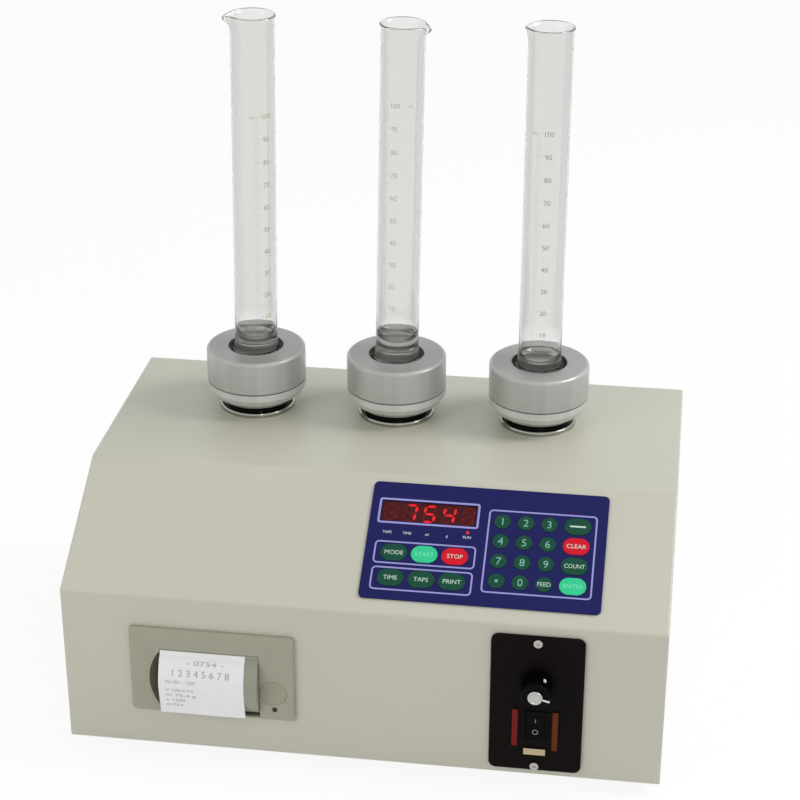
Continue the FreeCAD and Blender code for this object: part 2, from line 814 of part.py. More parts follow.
def snail_cam(name, x):
    """A cam that lifts evenly, dwells, and then drops: a spiral, two arcs and a flank."""
    base = value("cam_base_radius")
    rise = value("cam_rise")
    rising = [(turned, base + rise * turned / SNAIL_RISE_TURN)
              for turned in range(0, SNAIL_RISE_TURN + 1, 10)]

    def spot(turned, radius):
        return V(0, radius * sin(radians(turned)), radius * cos(radians(turned)))

    spiral = Part.BSplineCurve()
    spiral.interpolate([spot(turned, radius) for turned, radius in rising])
    high = base + rise
    dwell = Part.Arc(spot(SNAIL_RISE_TURN, high), spot((SNAIL_RISE_TURN + SNAIL_DWELL_TURN) / 2, high),
                     spot(SNAIL_DWELL_TURN, high))
    flank = Part.LineSegment(spot(SNAIL_DWELL_TURN, high), spot(SNAIL_FLANK_TURN, base))
    low = Part.Arc(spot(SNAIL_FLANK_TURN, base), spot((SNAIL_FLANK_TURN + FULL_TURN) / 2, base),
                   spot(FULL_TURN, base))
    wire = Part.Wire([spiral.toShape(), dwell.toShape(), flank.toShape(), low.toShape()])
    cam = doc.addObject("Part::Feature", name)
    cam.Shape = Part.Face(wire).extrude(V(value("cam_width"), 0, 0))
    return put(cam, "(%s) - cam_width / 2" % x, "station_y", "shaft_z")


def camshaft():
    """Shaft with three snail cams and their hubs, a sensor disc and a thinner drive end."""
    left = "frame_left - cheek_thick / 2"
    shaft_end = "gearbox_x"
    pieces = [cylinder("shaft", left, "station_y", "shaft_z", "shaft_radius",
                       "%s - (%s)" % (shaft_end, left), "x"),
              cylinder("drive_end", shaft_end, "station_y", "shaft_z", "journal_radius",
                       "journal_length", "x")]
    for side, x in STATIONS.items():
        pieces.append(snail_cam("cam_" + side, x))
        pieces.append(cylinder("hub_" + side, "(%s) + cam_width / 2" % x, "station_y", "shaft_z",
                               "cam_hub_radius", "cam_hub_length", "x"))
    pieces.append(cylinder("sensor_disc", "frame_left + cheek_thick / 2 + disc_offset - disc_thick / 2",
                           "station_y", "shaft_z", "disc_radius", "disc_thick", "x"))
    return node(fuse("cam_shaft", pieces), "camshaft")


def shaft_bearings():
    """Two flanged bushes, each pressed into a cheek from inside."""
    bushes = []
    inner = {"left": "frame_left + cheek_thick / 2", "right": "frame_right - cheek_thick / 2"}
    for side, face in inner.items():
        ring = "%s - cheek_thick" % face if side == "left" else face
        collar = face if side == "left" else "%s - bearing_flange" % face
        solid = fuse("bush_blank_" + side, [
            cylinder("bush_ring_" + side, ring, "station_y", "shaft_z", "bearing_radius",
                     "cheek_thick", "x"),
            cylinder("bush_collar_" + side, collar, "station_y", "shaft_z", "bearing_flange_radius",
                     "bearing_flange", "x")])
        hole = cylinder("bush_bore_" + side, "%s - cheek_thick - 2" % face, "station_y", "shaft_z",
                        "shaft_radius + shaft_play", "2 * cheek_thick + 4", "x")
        bushes.append(cut("bush_" + side, solid, [hole]))
    return node(group("bushes", bushes), "shaft_bearings")


def mechanism_frame():
    """Portal of a top plate and two cheeks with feet, which stands on the tray."""
    span = "frame_right - frame_left + cheek_thick"
    left = "frame_left - cheek_thick / 2"
    front = "station_y - frame_width / 2"
    height = "frame_top - tray_top"
    solids = [box("frame_plate", left, front, "frame_low", span, "frame_width", "frame_plate"),
              box("cheek_left", left, front, "tray_top", "cheek_thick", "frame_width", height),
              box("cheek_right", "frame_right - cheek_thick / 2", front, "tray_top", "cheek_thick",
                  "frame_width", height),
              box("cheek_foot_left", left, front, "tray_top", "cheek_thick + cheek_foot",
                  "frame_width", "cheek_thick / 2"),
              box("cheek_foot_right", "frame_right - cheek_thick / 2 - cheek_foot", front, "tray_top",
                  "cheek_thick + cheek_foot", "frame_width", "cheek_thick / 2")]
    tools = [cylinder("frame_hole_" + side, x, "station_y", "frame_low - 1", "sleeve_radius",
                      "frame_plate + 2") for side, x in STATIONS.items()]
    tools += [cylinder("cheek_bore_" + side, "%s - cheek_thick" % x, "station_y", "shaft_z",
                       "bearing_radius", "2 * cheek_thick", "x")
              for side, x in (("left", "frame_left"), ("right", "frame_right"))]
    return node(cut("portal", fuse("portal_blank", solids), tools), "mechanism_frame")


def gear_motor():
    """Gearbox with a hollow output, bolted on the right cheek, and its motor in line."""
    half = "gearbox_size / 2"
    outline = [("-" + half, "-" + half), (half, "-" + half), (half, half), ("-" + half, half)]
    gearbox = padded("gearbox", "YZ_Plane", outline, "gearbox_length")
    edges = straight_edges(gearbox.Shape, (1, 0, 0), lambda point: True)
    dress(gearbox, "Fillet", edges, "Radius", "gearbox_round")
    motor_x = "gearbox_length"
    can = cylinder("motor_can", motor_x, "0", "0", "motor_radius", "motor_length - motor_cap", "x")
    cap = cylinder("motor_cap", "gearbox_length + motor_length - motor_cap", "0", "0",
                   "motor_cap_radius", "motor_cap", "x")
    socket = cylinder("gearbox_bore", "-1", "0", "gearbox_drop", "journal_radius + shaft_play",
                      "journal_length + 3", "x")
    whole = cut("motor", fuse("motor_blank", [gearbox, can, cap]), [socket])
    return node(put(whole, "gearbox_x", "station_y", "shaft_z - gearbox_drop"), "gear_motor")


def tap_sensor():
    """Fork sensor on the left cheek; the disc of the camshaft turns in its slot."""
    cheek = "frame_left + cheek_thick / 2"
    slot = "disc_thick + 2 * sensor_play"
    length = "disc_offset + slot_half + sensor_arm"
    length = length.replace("slot_half", "(%s) / 2" % slot)
    z = "shaft_z - disc_radius - sensor_height + sensor_reach"
    block = box("sensor_block", cheek, "station_y - sensor_width / 2", z, length, "sensor_width",
                "sensor_height")
    gap = box("sensor_slot", cheek + " + disc_offset - (%s) / 2" % slot, "station_y - sensor_width",
              "shaft_z - disc_radius - sensor_play", slot, "2 * sensor_width", "sensor_height")
    return node(cut("sensor", block, [gap]), "tap_sensor")


def control_overlay():
    """Blue membrane panel with a window and a hole for every key."""
    sheet_body = rounded_plate("overlay_sheet", "overlay_width", "overlay_height", "overlay_thick",
                               "overlay_corner")
    tools = [box("overlay_window", "window_left", "window_low", "-1", "window_width", "window_height",
                 "overlay_thick + 2")]
    for name, along, up, wide in key_places():
        if wide:
            tools.append(obround(name + "_hole", along, up, "-1", "wide_key_length + 2 * key_play",
                                 "wide_key_width + 2 * key_play", "overlay_thick + 2"))
        else:
            tools.append(cylinder(name + "_hole", along, up, "-1", "key_radius + key_play",
                                  "overlay_thick + 2"))
    return node(on_slope(cut("overlay", sheet_body, tools), "overlay_left", "overlay_low"),
                "control_overlay")


def display_window():
    pane = held("window_holder", box("window_pane", "0", "0", "0", "window_width",
                                         "window_height", "overlay_thick - window_sink"))
    return node(on_slope(pane, "overlay_left + window_left", "overlay_low + window_low"),
                "display_window")


def keys():
    """Every key is a low embossed dome in its own hole of the overlay."""
    thick = "overlay_thick - key_float + key_raise"
    for name, along, up, wide in key_places():
        if wide:
            cap = obround(name + "_cap", "0", "0", "0", "wide_key_length", "wide_key_width", thick)
        else:
            cap = held(name + "_cap", cylinder(name + "_disc", "0", "0", "0", "key_radius", thick))
        on_slope(cap, "overlay_left + " + along, "overlay_low + " + up, "key_float")
        node(cap, name)


def control_board():
    """Board under the slope on four posts, with the block of LED digits behind the window."""
    x = "overlay_left + (overlay_width - board_width) / 2"
    y = "overlay_low + (overlay_height - board_height) / 2"
    z = "-sheet_thick - board_drop - board_thick"
    pieces = [box("board", x, y, z, "board_width", "board_height", "board_thick")]
    corner = "%s + board_post_inset + %d * (%s - 2 * board_post_inset)"
    for place, (side, end) in enumerate(((0, 0), (0, 1), (1, 0), (1, 1))):
        pieces.append(cylinder("board_post_%d" % place, corner % (x, side, "board_width"),
                               corner % (y, end, "board_height"), "-sheet_thick - board_drop",
                               "board_post_radius", "board_drop"))
    pieces.append(box("digit_block", "overlay_left + window_left + digit_block_play",
                      "overlay_low + window_low + digit_block_play", "-sheet_thick - board_drop",
                      "window_width - 2 * digit_block_play", "window_height - 2 * digit_block_play",
                      "sheet_thick + board_drop"))
    return node(on_slope(fuse("board_set", pieces)), "control_board")


def to_front(item, x, y, z):
    """Stand a piece, modelled flat in XY, upright on the front with its height along Z."""
    turn(item, (1, 0, 0), "90")
    return put(item, x, y, z)


def controller_plate():
    """Black plate of the speed controller, with the moulded frame of its rocker."""
    plate = rounded_plate("plate_blank", "plate_width", "plate_height", "plate_thick", "plate_corner")
    dress(plate, "Chamfer", edges_at(plate.Shape, value("plate_thick")), "Size", "plate_edge")
    to_front(plate, "plate_left", "front_y", "foot_height + plate_low")
    frame = box("rocker_surround", "plate_mid - rocker_hole_width / 2 - rocker_frame", "rocker_frame_y",
                "rocker_z - rocker_hole_height / 2 - rocker_frame", "rocker_hole_width + 2 * rocker_frame",
                "rocker_frame_rise + plate_thick", "rocker_hole_height + 2 * rocker_frame")
    tools = [box("rocker_hole", "plate_mid - rocker_hole_width / 2", "rocker_frame_y - 1",
                 "rocker_z - rocker_hole_height / 2", "rocker_hole_width",
                 "rocker_frame_rise + plate_thick + 2", "rocker_hole_height"),
             cylinder("rocker_axle_notch",
                      "plate_mid - rocker_width / 2 - rocker_axle_reach - rocker_axle_play",
                      "rocker_axle_y", "rocker_z", "rocker_axle_radius + rocker_axle_play",
                      "rocker_width + 2 * (rocker_axle_reach + rocker_axle_play)", "x"),
             cylinder("knob_shaft_hole", "plate_mid", "plate_y - 1", "knob_z",
                      "knob_shaft_radius + knob_shaft_play", "plate_thick + 2", "rear")]
    for place, z in enumerate(plate_screw_heights()):
        tools.append(cylinder("plate_screw_hole_%d" % place, "plate_mid", "plate_y - 1", z,
                              "screw_radius", "plate_thick + 2", "rear"))
    return node(cut("plate", fuse("plate_set", [plate, frame]), tools), "controller_plate")


def controller_body():
    """Case of the speed controller behind its plate, open inside behind the rocker."""
    x = "plate_left + body_margin"
    z = "foot_height + plate_low + body_upright_margin"
    width = "plate_width - 2 * body_margin"
    height = "plate_height - 2 * body_upright_margin"
    block = box("controller_block", x, "front_y", z, width, "body_depth", height)
    tools = [box("rocker_chamber", "plate_mid - rocker_hole_width / 2 - rocker_frame", "front_y - 1",
                 "rocker_z - rocker_hole_height / 2 - rocker_frame",
                 "rocker_hole_width + 2 * rocker_frame", "body_depth / 3 + 1",
                 "rocker_hole_height + 2 * rocker_frame"),
             cylinder("knob_shaft_socket", "plate_mid", "front_y - 1", "knob_z",
                      "knob_shaft_radius + knob_shaft_play", "knob_shaft_length + 1", "rear")]
    return node(cut("controller", block, tools), "controller_body")


def speed_knob():
    """Fluted knob with a skirt, a bright cap and its shaft."""
    tip = "knob_length"
    low = "knob_gap"
    outline = [("0", "-plate_thick - knob_shaft_length + 1"),
               ("knob_shaft_radius", "-plate_thick - knob_shaft_length + 1"),
               ("knob_shaft_radius", low), ("knob_radius", low), ("knob_radius", "knob_skirt"),
               ("knob_top_radius + 0.6", "knob_skirt"), ("knob_top_radius", "knob_length - knob_cap - 0.8"),
               ("knob_top_radius - 0.8", "knob_length - knob_cap"),
               ("knob_cap_radius", "knob_length - knob_cap"), ("knob_cap_radius - 0.3", tip), ("0", tip)]
    body = revolved("knob_blank", outline)
    flutes = []
    for place in range(int(value("knob_flutes"))):
        angle = "(%d * 360 / knob_flutes) * 1deg" % place
        flutes.append(cylinder("flute_%d" % place, "(knob_top_radius + 0.9) * cos(%s)" % angle,
                               "(knob_top_radius + 0.9) * sin(%s)" % angle, "knob_skirt + 0.6",
                               "knob_flute_radius", "knob_length"))
    knob = cut("knob", body, flutes)
    return node(to_front(knob, "plate_mid", "plate_y", "knob_z"), "speed_knob")


def power_rocker():
    """Rocker with two faces that dip over its axle; at rest its upper end is pressed in."""
    half = "rocker_length / 2"
    tip = "rocker_rise + (%s) * tan(rocker_tilt * 1deg)" % half
    outline = [("-" + half + " + 1", "-rocker_depth"), (half + " - 1", "-rocker_depth"),
               (half + " - rocker_end_relief", tip), ("0", "rocker_rise"),
               ("-" + half + " + rocker_end_relief", tip)]
    wedge = padded("rocker_wedge", "YZ_Plane", outline, "rocker_width", middle=True)
    axle = cylinder("rocker_axle", "-rocker_width / 2 - rocker_axle_reach", "0", "0",
                    "rocker_axle_radius", "rocker_width + 2 * rocker_axle_reach", "x")
    rocker = fuse("rocker", [wedge, axle])
    turn(rocker, (1, 0, 0), "90 - rocker_tilt")
    return node(put(rocker, "plate_mid", "rocker_axle_y", "rocker_z"), "power_rocker")


def printer_bezel():
    """Front frame of the printer, with the mouth for its door and a hole for its button."""
    plate = rounded_plate("bezel_blank", "bezel_width", "bezel_height", "bezel_thick", "bezel_corner")
    dress(plate, "Chamfer", edges_at(plate.Shape, value("bezel_thick")), "Size", "bezel_edge")
    to_front(plate, "bezel_left", "front_y", "foot_height + bezel_low")
    mouth_x = "door_left - door_play"
    tools = [box("bezel_mouth", mouth_x, "bezel_y - 1", "mouth_z", "door_width + 2 * door_play",
                 "bezel_thick + 2", "mouth_height"),
             finger_scoop(),
             cylinder("button_hole", "button_x", "bezel_y - 1", "button_height",
                      "button_radius + button_play", "bezel_thick + 2", "rear"),
             cylinder("hinge_socket", "door_left - door_play - hinge_pin_reach - hinge_play",
                      "hinge_y", "hinge_z", "hinge_pin_radius + hinge_play",
                      "door_width + 2 * (door_play + hinge_pin_reach + hinge_play)", "x")]
    return node(cut("bezel", plate, tools), "printer_bezel")


def finger_scoop():
    """Crescent beside the door, left by a round mouth that reaches past the door's end."""
    half = "(scoop_height / 2)"
    radius = "((scoop_reach ^ 2 + %s ^ 2) / (2 * scoop_reach))" % half
    disc = cylinder("scoop_disc", "door_left - door_play - scoop_reach + " + radius, "bezel_y - 1",
                    "mouth_z + mouth_height / 2", radius, "bezel_thick + 2", "rear")
    keep = box("scoop_keep", "mouth_left - 1", "bezel_y - 2", "mouth_z", "finger_gap + 2",
               "bezel_thick + 4", "mouth_height")
    return common("scoop", [disc, keep])


def printer_door():
    """Convex cover that swings up about its top edge: a bowed shell with end walls and pins."""
    outer = bowed_bar("door_outer", "0", "door_left", "door_width")
    inner = bowed_bar("door_inner", "door_wall", "door_left + door_end_wall",
                      "door_width - 2 * door_end_wall")
    barrel = cylinder("door_barrel", "door_left", "0", "0", "hinge_radius", "door_width", "x")
    pin = cylinder("door_pin", "door_left - door_play - hinge_pin_reach", "0", "0", "hinge_pin_radius",
                   "door_width + 2 * (door_play + hinge_pin_reach)", "x")
    shell = cut("door_shell", fuse("door_blank", [outer, barrel]), [inner])
    door = fuse("door", [shell, pin])
    return node(put(door, "0", "hinge_y", "hinge_z"), "printer_door")


def bowed_bar(name, inset, x, length):
    """Segment of a cylinder along X, its chord hanging down from the hinge."""
    sag = "(door_bulge + hinge_radius - (%s))" % inset
    chord = "(door_chord - 2 * (%s))" % inset
    radius = "((%s) / 2 + (%s) ^ 2 / (8 * (%s)))" % (sag, chord, sag)
    round_bar = cylinder(name + "_round", x, "%s - %s" % (radius, sag), "-door_chord / 2", radius,
                         length, "x")
    keep = box(name + "_keep", x, "-2 * %s" % sag, "-door_chord / 2 - %s / 2" % chord, length,
               "2 * %s" % sag, chord)
    return common(name, [round_bar, keep])


def paper_strip():
    """Printed paper: from the gap at the hinge over the bow of the door, down to its torn end."""
    outside = paper_line("paper_thick")
    inside = paper_line("0")
    strip = padded("paper", "YZ_Plane", outside + inside[::-1], "paper_width")
    return node(put(strip, "paper_mid - paper_width / 2", "hinge_y", "hinge_z"), "paper_strip")


def paper_line(thick):
    """One side of the paper in section, downwards from the hinge, in chords that touch the door."""
    sag = "(door_bulge + hinge_radius)"
    radius = "(%s / 2 + door_chord ^ 2 / (8 * %s))" % (sag, sag)
    steps = 12
    step_turn = "((paper_high_turn - paper_low_turn) / %d)" % steps
    line = [("-paper_head_reach - %s" % thick, "-paper_head_low")]
    for step in range(steps + 1):
        turn = "((paper_high_turn - %d * %s) * 1deg)" % (step, step_turn)
        far = "((%s + %s) / cos(%s / 2 * 1deg))" % (radius, thick, step_turn)
        line.append(("%s - %s - %s * cos(%s)" % (radius, sag, far, turn),
                     "-door_chord / 2 + %s * sin(%s)" % (far, turn)))
    line.append(("-paper_break_reach - %s" % thick, "paper_break - door_chord"))
    line.append(("-paper_end_reach - %s" % thick, "-door_chord - paper_drop"))
    return line


def print_mechanism():
    """Bin behind the bezel with the print head, the roll's spindle and the feed switch."""
    x = "mouth_left - bin_margin"
    z = "mouth_z - bin_margin"
    width = "mouth_width + 2 * bin_margin"
    height = "mouth_height + 2 * bin_margin"
    blank = box("bin_blank", x, "front_y", z, width, "bin_depth", height)
    hollow = box("bin_hollow", x + " + bin_wall", "front_y - 1", z + " + bin_wall",
                 width + " - 2 * bin_wall", "bin_depth - bin_wall + 1", height + " - 2 * bin_wall")
    spindle = cylinder("spindle", x + " + bin_wall", "roll_y", "roll_z",
                       "roll_core - roll_play", width + " - 2 * bin_wall", "x")
    head = box("print_head", x + " + bin_wall", "front_y + head_back", z + " + bin_wall",
               width + " - 2 * bin_wall", "head_depth", "head_height")
    switch = box("feed_switch", x + " + " + width,
                 "front_y + button_flange_thick + button_travel + switch_play",
                 "button_height - switch_size / 2", "button_x + switch_size / 2 - (%s + %s)" % (x, width),
                 "switch_size", "switch_size")
    notch = cylinder("button_notch", "button_x", "front_y - 1", "button_height",
                     "button_radius + button_flange + button_play",
                     "1 + button_flange_thick + button_travel + switch_play", "rear")
    shell = cut("bin_shell", blank, [hollow, notch])
    return node(fuse("mechanism", [shell, spindle, head, switch]), "print_mechanism")


def paper_roll():
    outline = [("roll_core", "0"), ("roll_radius", "0"), ("roll_radius", "roll_width"),
               ("roll_core", "roll_width")]
    body = revolved("roll", outline)
    point_along(body, "x")
    return node(put(body, "mouth_left + (mouth_width - roll_width) / 2", "roll_y", "roll_z"), "paper_roll")


def feed_button():
    """Flush round button, held behind the bezel by its flange."""
    outline = [("0", "-button_flange_thick"), ("button_radius + button_flange", "-button_flange_thick"),
               ("button_radius + button_flange", "0"), ("button_radius", "0"),
               ("button_radius", "bezel_thick"), ("0", "bezel_thick")]
    body = revolved("button", outline)
    return node(to_front(body, "button_x", "front_y", "button_height"), "feed_button")


def rear_panel():
    """Flat panel in the rear recess, with vents and the mouth of the mains inlet."""
    x = "sheet_thick + panel_play - case_width / 2"
    plate = box("rear_blank", x, "rear_y - sheet_thick", "rear_panel_z",
                "case_width - 2 * (sheet_thick + panel_play)", "sheet_thick",
                "deck_z - sheet_thick - panel_play - rear_panel_z")
    tools = [box("inlet_mouth", "inlet_x - inlet_body_width / 2", "rear_y - 2 * sheet_thick",
                 "inlet_height - inlet_body_height / 2", "inlet_body_width", "3 * sheet_thick",
                 "inlet_body_height")]
    for place in range(int(value("vent_count"))):
        tools.append(box("vent_%d" % place, "vent_left + %d * vent_pitch" % place,
                         "rear_y - 2 * sheet_thick", "foot_height + vent_low", "vent_width",
                         "3 * sheet_thick", "vent_height"))
    for place, (spot_x, z) in enumerate(rear_screw_places()):
        tools.append(cylinder("rear_hole_%d" % place, spot_x, "rear_y - 2 * sheet_thick", z,
                              "screw_radius", "3 * sheet_thick", "rear"))
    return node(cut("rear", plate, tools), "rear_panel")


def mains_inlet():
    """Three-pin mains inlet with its flange outside the rear panel."""
    flange = box("inlet_flange", "inlet_x - inlet_flange_width / 2", "rear_y",
                 "inlet_height - inlet_flange_height / 2", "inlet_flange_width", "inlet_reach",
                 "inlet_flange_height")
    body = box("inlet_body", "inlet_x - inlet_body_width / 2", "rear_y - inlet_body_depth",
               "inlet_height - inlet_body_height / 2", "inlet_body_width", "inlet_body_depth",
               "inlet_body_height")
    socket = box("inlet_socket", "inlet_x - inlet_socket_width / 2",
                 "rear_y + inlet_reach - inlet_socket_depth", "inlet_height - inlet_socket_height / 2",
                 "inlet_socket_width", "inlet_socket_depth + 1", "inlet_socket_height")
    shell = cut("inlet_shell", fuse("inlet_blank", [flange, body]), [socket])
    pins = []
    for place, lift in ((-1, "0"), (0, "inlet_earth_lift"), (1, "0")):
        pins.append(box("inlet_pin_%d" % (place + 1),
                        "inlet_x + %d * inlet_pin_pitch - inlet_pin_width / 2" % place,
                        "rear_y + inlet_reach - inlet_socket_depth",
                        "inlet_height - inlet_pin_height / 2 + " + lift, "inlet_pin_width",
                        "inlet_pin_length", "inlet_pin_height"))
    return node(fuse("inlet", [shell] + pins), "mains_inlet")


def screw(name, x, y, z, socket, away, length):
    """Pan head screw: its head stands off the face at y, its shank goes the other way."""
    back = {"front": "rear", "rear": "front"}[away]
    head = cylinder(name + "_head", x, y, z, "screw_head_radius", "screw_head", away)
    shank = cylinder(name + "_shank", x, y, z, "screw_radius", length, back)
    return cut(name, fuse(name + "_blank", [head, shank]), [socket])


def panel_screws():
    """Six screws of the rear panel and the two bright ones of the controller plate."""
    screws = []
    for place, (x, z) in enumerate(rear_screw_places()):
        socket = cylinder("rear_screw_socket_%d" % place, x, "rear_y + screw_head - socket_depth", z,
                          "screw_socket", "socket_depth + 1", "rear")
        screws.append(screw("rear_screw_%d" % place, x, "rear_y", z, socket, "rear",
                            "screw_length"))
    for place, z in enumerate(plate_screw_heights()):
        socket = cylinder("plate_screw_socket_%d" % place, "plate_mid",
                          "plate_y - screw_head + socket_depth", z, "screw_socket",
                          "socket_depth + 1", "front")
        screws.append(screw("plate_screw_%d" % place, "plate_mid", "plate_y", z, socket, "front",
                            "plate_thick + sheet_thick"))
    return node(group("screws", screws), "panel_screws")


def check_and_write():
    """Stop on any failed object, then write one file for each sub-part."""
    doc.recompute()
    for item in doc.Objects:
        if "Invalid" in item.State or "Error" in item.State:
            raise RuntimeError("%s failed: %s" % (item.Name, item.State))
    for item, name in nodes:
        if item.Shape.isNull() or not item.Shape.isValid():
            raise RuntimeError("%s has no valid shape" % name)
    os.makedirs("parts", exist_ok=True)
    for item, name in nodes:
        item.Shape.exportStep("parts/%s.step" % name)
        print("%-28s solids %2d  volume %10.1f" % (name, len(item.Shape.Solids), item.Shape.Volume))


fill_sheet()
housing_cover()
base_tray()
rear_panel()
rubber_feet()
guide_flanges()
anvil_pads()
mechanism_frame()
shaft_bearings()
camshaft()
gear_motor()
tap_sensor()
for station_side, station_x in STATIONS.items():
    station(station_side, station_x)
control_overlay()
display_window()
control_board()
controller_plate()
controller_body()
speed_knob()
power_rocker()
printer_bezel()
printer_door()
paper_strip()
print_mechanism()
paper_roll()
feed_button()
mains_inlet()
panel_screws()
keys()
check_and_write()
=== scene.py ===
# %% [markdown]
# # A three-station tap density tester, dressed for its portrait
# The construction comes ready made: every solid sits in one fixed frame, in metres, with its
# joints.  This lesson adds what a solid model lacks: the finish of each surface, the blown glass,
# the printing on panel and cylinders, the lit digits, the light and the camera.
# Each step first says what the real piece is and how it could be made, then makes it.

# %% Tools and the fixed frame
import json
import math

import bmesh
import bpy
from mathutils import Matrix, Vector


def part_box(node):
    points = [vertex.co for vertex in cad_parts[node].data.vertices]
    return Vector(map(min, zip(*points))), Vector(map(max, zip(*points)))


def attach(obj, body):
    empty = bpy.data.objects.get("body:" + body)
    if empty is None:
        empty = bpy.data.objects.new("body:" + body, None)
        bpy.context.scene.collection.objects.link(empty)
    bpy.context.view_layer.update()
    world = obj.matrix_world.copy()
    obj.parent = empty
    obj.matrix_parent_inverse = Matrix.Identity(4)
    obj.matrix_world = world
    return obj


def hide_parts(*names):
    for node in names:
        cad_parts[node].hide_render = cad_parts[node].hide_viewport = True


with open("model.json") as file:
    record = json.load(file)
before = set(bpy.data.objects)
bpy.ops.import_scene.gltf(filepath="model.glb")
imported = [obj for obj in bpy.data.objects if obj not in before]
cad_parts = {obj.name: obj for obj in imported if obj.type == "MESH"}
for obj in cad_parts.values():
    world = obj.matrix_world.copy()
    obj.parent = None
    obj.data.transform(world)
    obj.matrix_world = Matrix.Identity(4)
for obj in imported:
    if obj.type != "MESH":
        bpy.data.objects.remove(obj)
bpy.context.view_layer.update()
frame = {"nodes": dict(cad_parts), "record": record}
nodes = frame["nodes"]
bpy.ops.object.select_all(action="DESELECT")
MM = 0.001

# %% [markdown]
# ## Camera
# A long lens from a step away, a little to the right and well above, looks down on the tester.
# The camera is built from its direction of view: right and up follow from it by cross products,
# which is safer than guessing three rotation angles.

# %% Camera
CAMERA_PLACE = Vector((0.1890, -1.2592, 0.8358))
CAMERA_YAW = math.radians(-8.1)
CAMERA_PITCH = math.radians(25.8)
CAMERA_ROLL = math.radians(0.08)
CAMERA_LENS = 93.83
CAMERA_SENSOR = 36
CAMERA_FAR = 20

ahead = Vector((math.sin(CAMERA_YAW) * math.cos(CAMERA_PITCH),
                math.cos(CAMERA_YAW) * math.cos(CAMERA_PITCH),
                -math.sin(CAMERA_PITCH)))
right = Vector((math.cos(CAMERA_YAW), -math.sin(CAMERA_YAW), 0))
up = right.cross(ahead)
turned_view = Matrix((right, up, -ahead)).transposed().to_4x4()
bpy.ops.object.camera_add()
camera = bpy.context.object
camera.matrix_world = (Matrix.Translation(CAMERA_PLACE) @ turned_view
                       @ Matrix.Rotation(CAMERA_ROLL, 4, "Z"))
camera.data.lens = CAMERA_LENS
camera.data.sensor_width = CAMERA_SENSOR
camera.data.clip_end = CAMERA_FAR
bpy.context.scene.camera = camera
print("camera looks along", [round(part, 3) for part in ahead])

# %% [markdown]
# ## A small language for finishes
# A finish is a shader, and its pattern is arithmetic on positions.  Wiring thirty Math nodes by
# hand is slow to write and to read, so `Signal` wraps a socket and lets Python's own operators add
# the Math nodes, and `Finish.node` makes any other node from its type, settings and sockets.

# %% Signal: arithmetic on sockets
class Signal:
    """One output of a shader node.  Sums with it add Math nodes to its finish."""

    def __init__(self, finish, socket):
        self.finish = finish
        self.socket = socket

    def maths(self, operation, first, second=0.0):
        return self.finish.node("Math", {"operation": operation}, {0: first, 1: second})

    def __add__(self, other):
        return self.maths("ADD", self, other)

    def __sub__(self, other):
        return self.maths("SUBTRACT", self, other)

    def __rsub__(self, other):
        return self.maths("SUBTRACT", other, self)

    def __mul__(self, other):
        return self.maths("MULTIPLY", self, other)

    def __truediv__(self, other):
        return self.maths("DIVIDE", self, other)

    def __gt__(self, other):
        return self.maths("GREATER_THAN", self, other)

    def __lt__(self, other):
        return self.maths("LESS_THAN", self, other)


# %% Finish: a material under construction
def colour(red, green, blue):
    """A colour as a screen shows it, 0 to 255, turned into the linear values of a shader."""
    linear = [((part / 255 + 0.055) / 1.055) ** 2.4 if part > 10 else part / 255 / 12.92
              for part in (red, green, blue)]
    return (*linear, 1)


class Finish:
    """A material on one Principled shader, with helpers for the patterns used here."""

    def __init__(self, name, **settings):
        self.material = bpy.data.materials.new(name)
        self.material.use_nodes = True
        self.tree = self.material.node_tree
        self.shader = self.tree.nodes["Principled BSDF"]
        self.place = self.node("TexCoord", output="Object")
        for socket, value in settings.items():
            self.give(socket.replace("_", " "), value)

    def node(self, kind, settings=None, inputs=None, output=0):
        made = self.tree.nodes.new("ShaderNode" + kind)
        for name, value in (settings or {}).items():
            setattr(made, name, value)
        for name, value in (inputs or {}).items():
            self.feed(made.inputs[name], value)
        return Signal(self, made.outputs[output])

    def feed(self, socket, value):
        if isinstance(value, Signal):
            self.tree.links.new(value.socket, socket)
        else:
            socket.default_value = value

    def give(self, socket, value):
        self.feed(self.shader.inputs[socket], value)
        return self

    def root(self, value):
        return self.node("Math", {"operation": "SQRT"}, {0: value})

    def noise(self, scale, stretch=(1, 1, 1), detail=3.0):
        """Cloudy noise about 0.5; scale counts its lumps in a metre, stretch squeezes an axis."""
        squeezed = self.node("Mapping", None, {"Vector": self.place, "Scale": stretch}, "Vector")
        return self.node("TexNoise", None, {"Vector": squeezed, "Scale": scale, "Detail": detail})

    def axis(self, letter):
        return self.node("SeparateXYZ", None, {0: self.place}, letter)

    def mix(self, mask, first, second):
        """first where the mask is 0, second where it is 1."""
        return self.node("Mix", {"data_type": "RGBA"}, {0: mask, 6: first, 7: second}, 2)

    def relief(self, height, depth, strength):
        """Raise the surface by height times depth, in metres."""
        wanted = {"Height": height, "Distance": depth, "Strength": strength}
        return self.give("Normal", self.node("Bump", None, wanted, "Normal"))


print("finishes are ready to be mixed")

# %% [markdown]
# ## Paint, rubber and plastics
# The case is sheet steel with a smooth cream stove enamel: nearly even, with a fine orange-peel
# relief and the faintest clouding.  Small mouldings have a matt spark-eroded grain.  One function
# makes that family, because such plastics differ only in colour, gloss and grain.

# %% Enamel and moulded plastics
#      depths of relief, in metres
ORANGE_PEEL = 0.00003
SPARKED = 0.00003
SMOOTH = 0.00001
PRINTED = 0.000005


def shade(tint, level):
    """The same tint, darker."""
    return tuple(part * level for part in tint[:3]) + (1,)


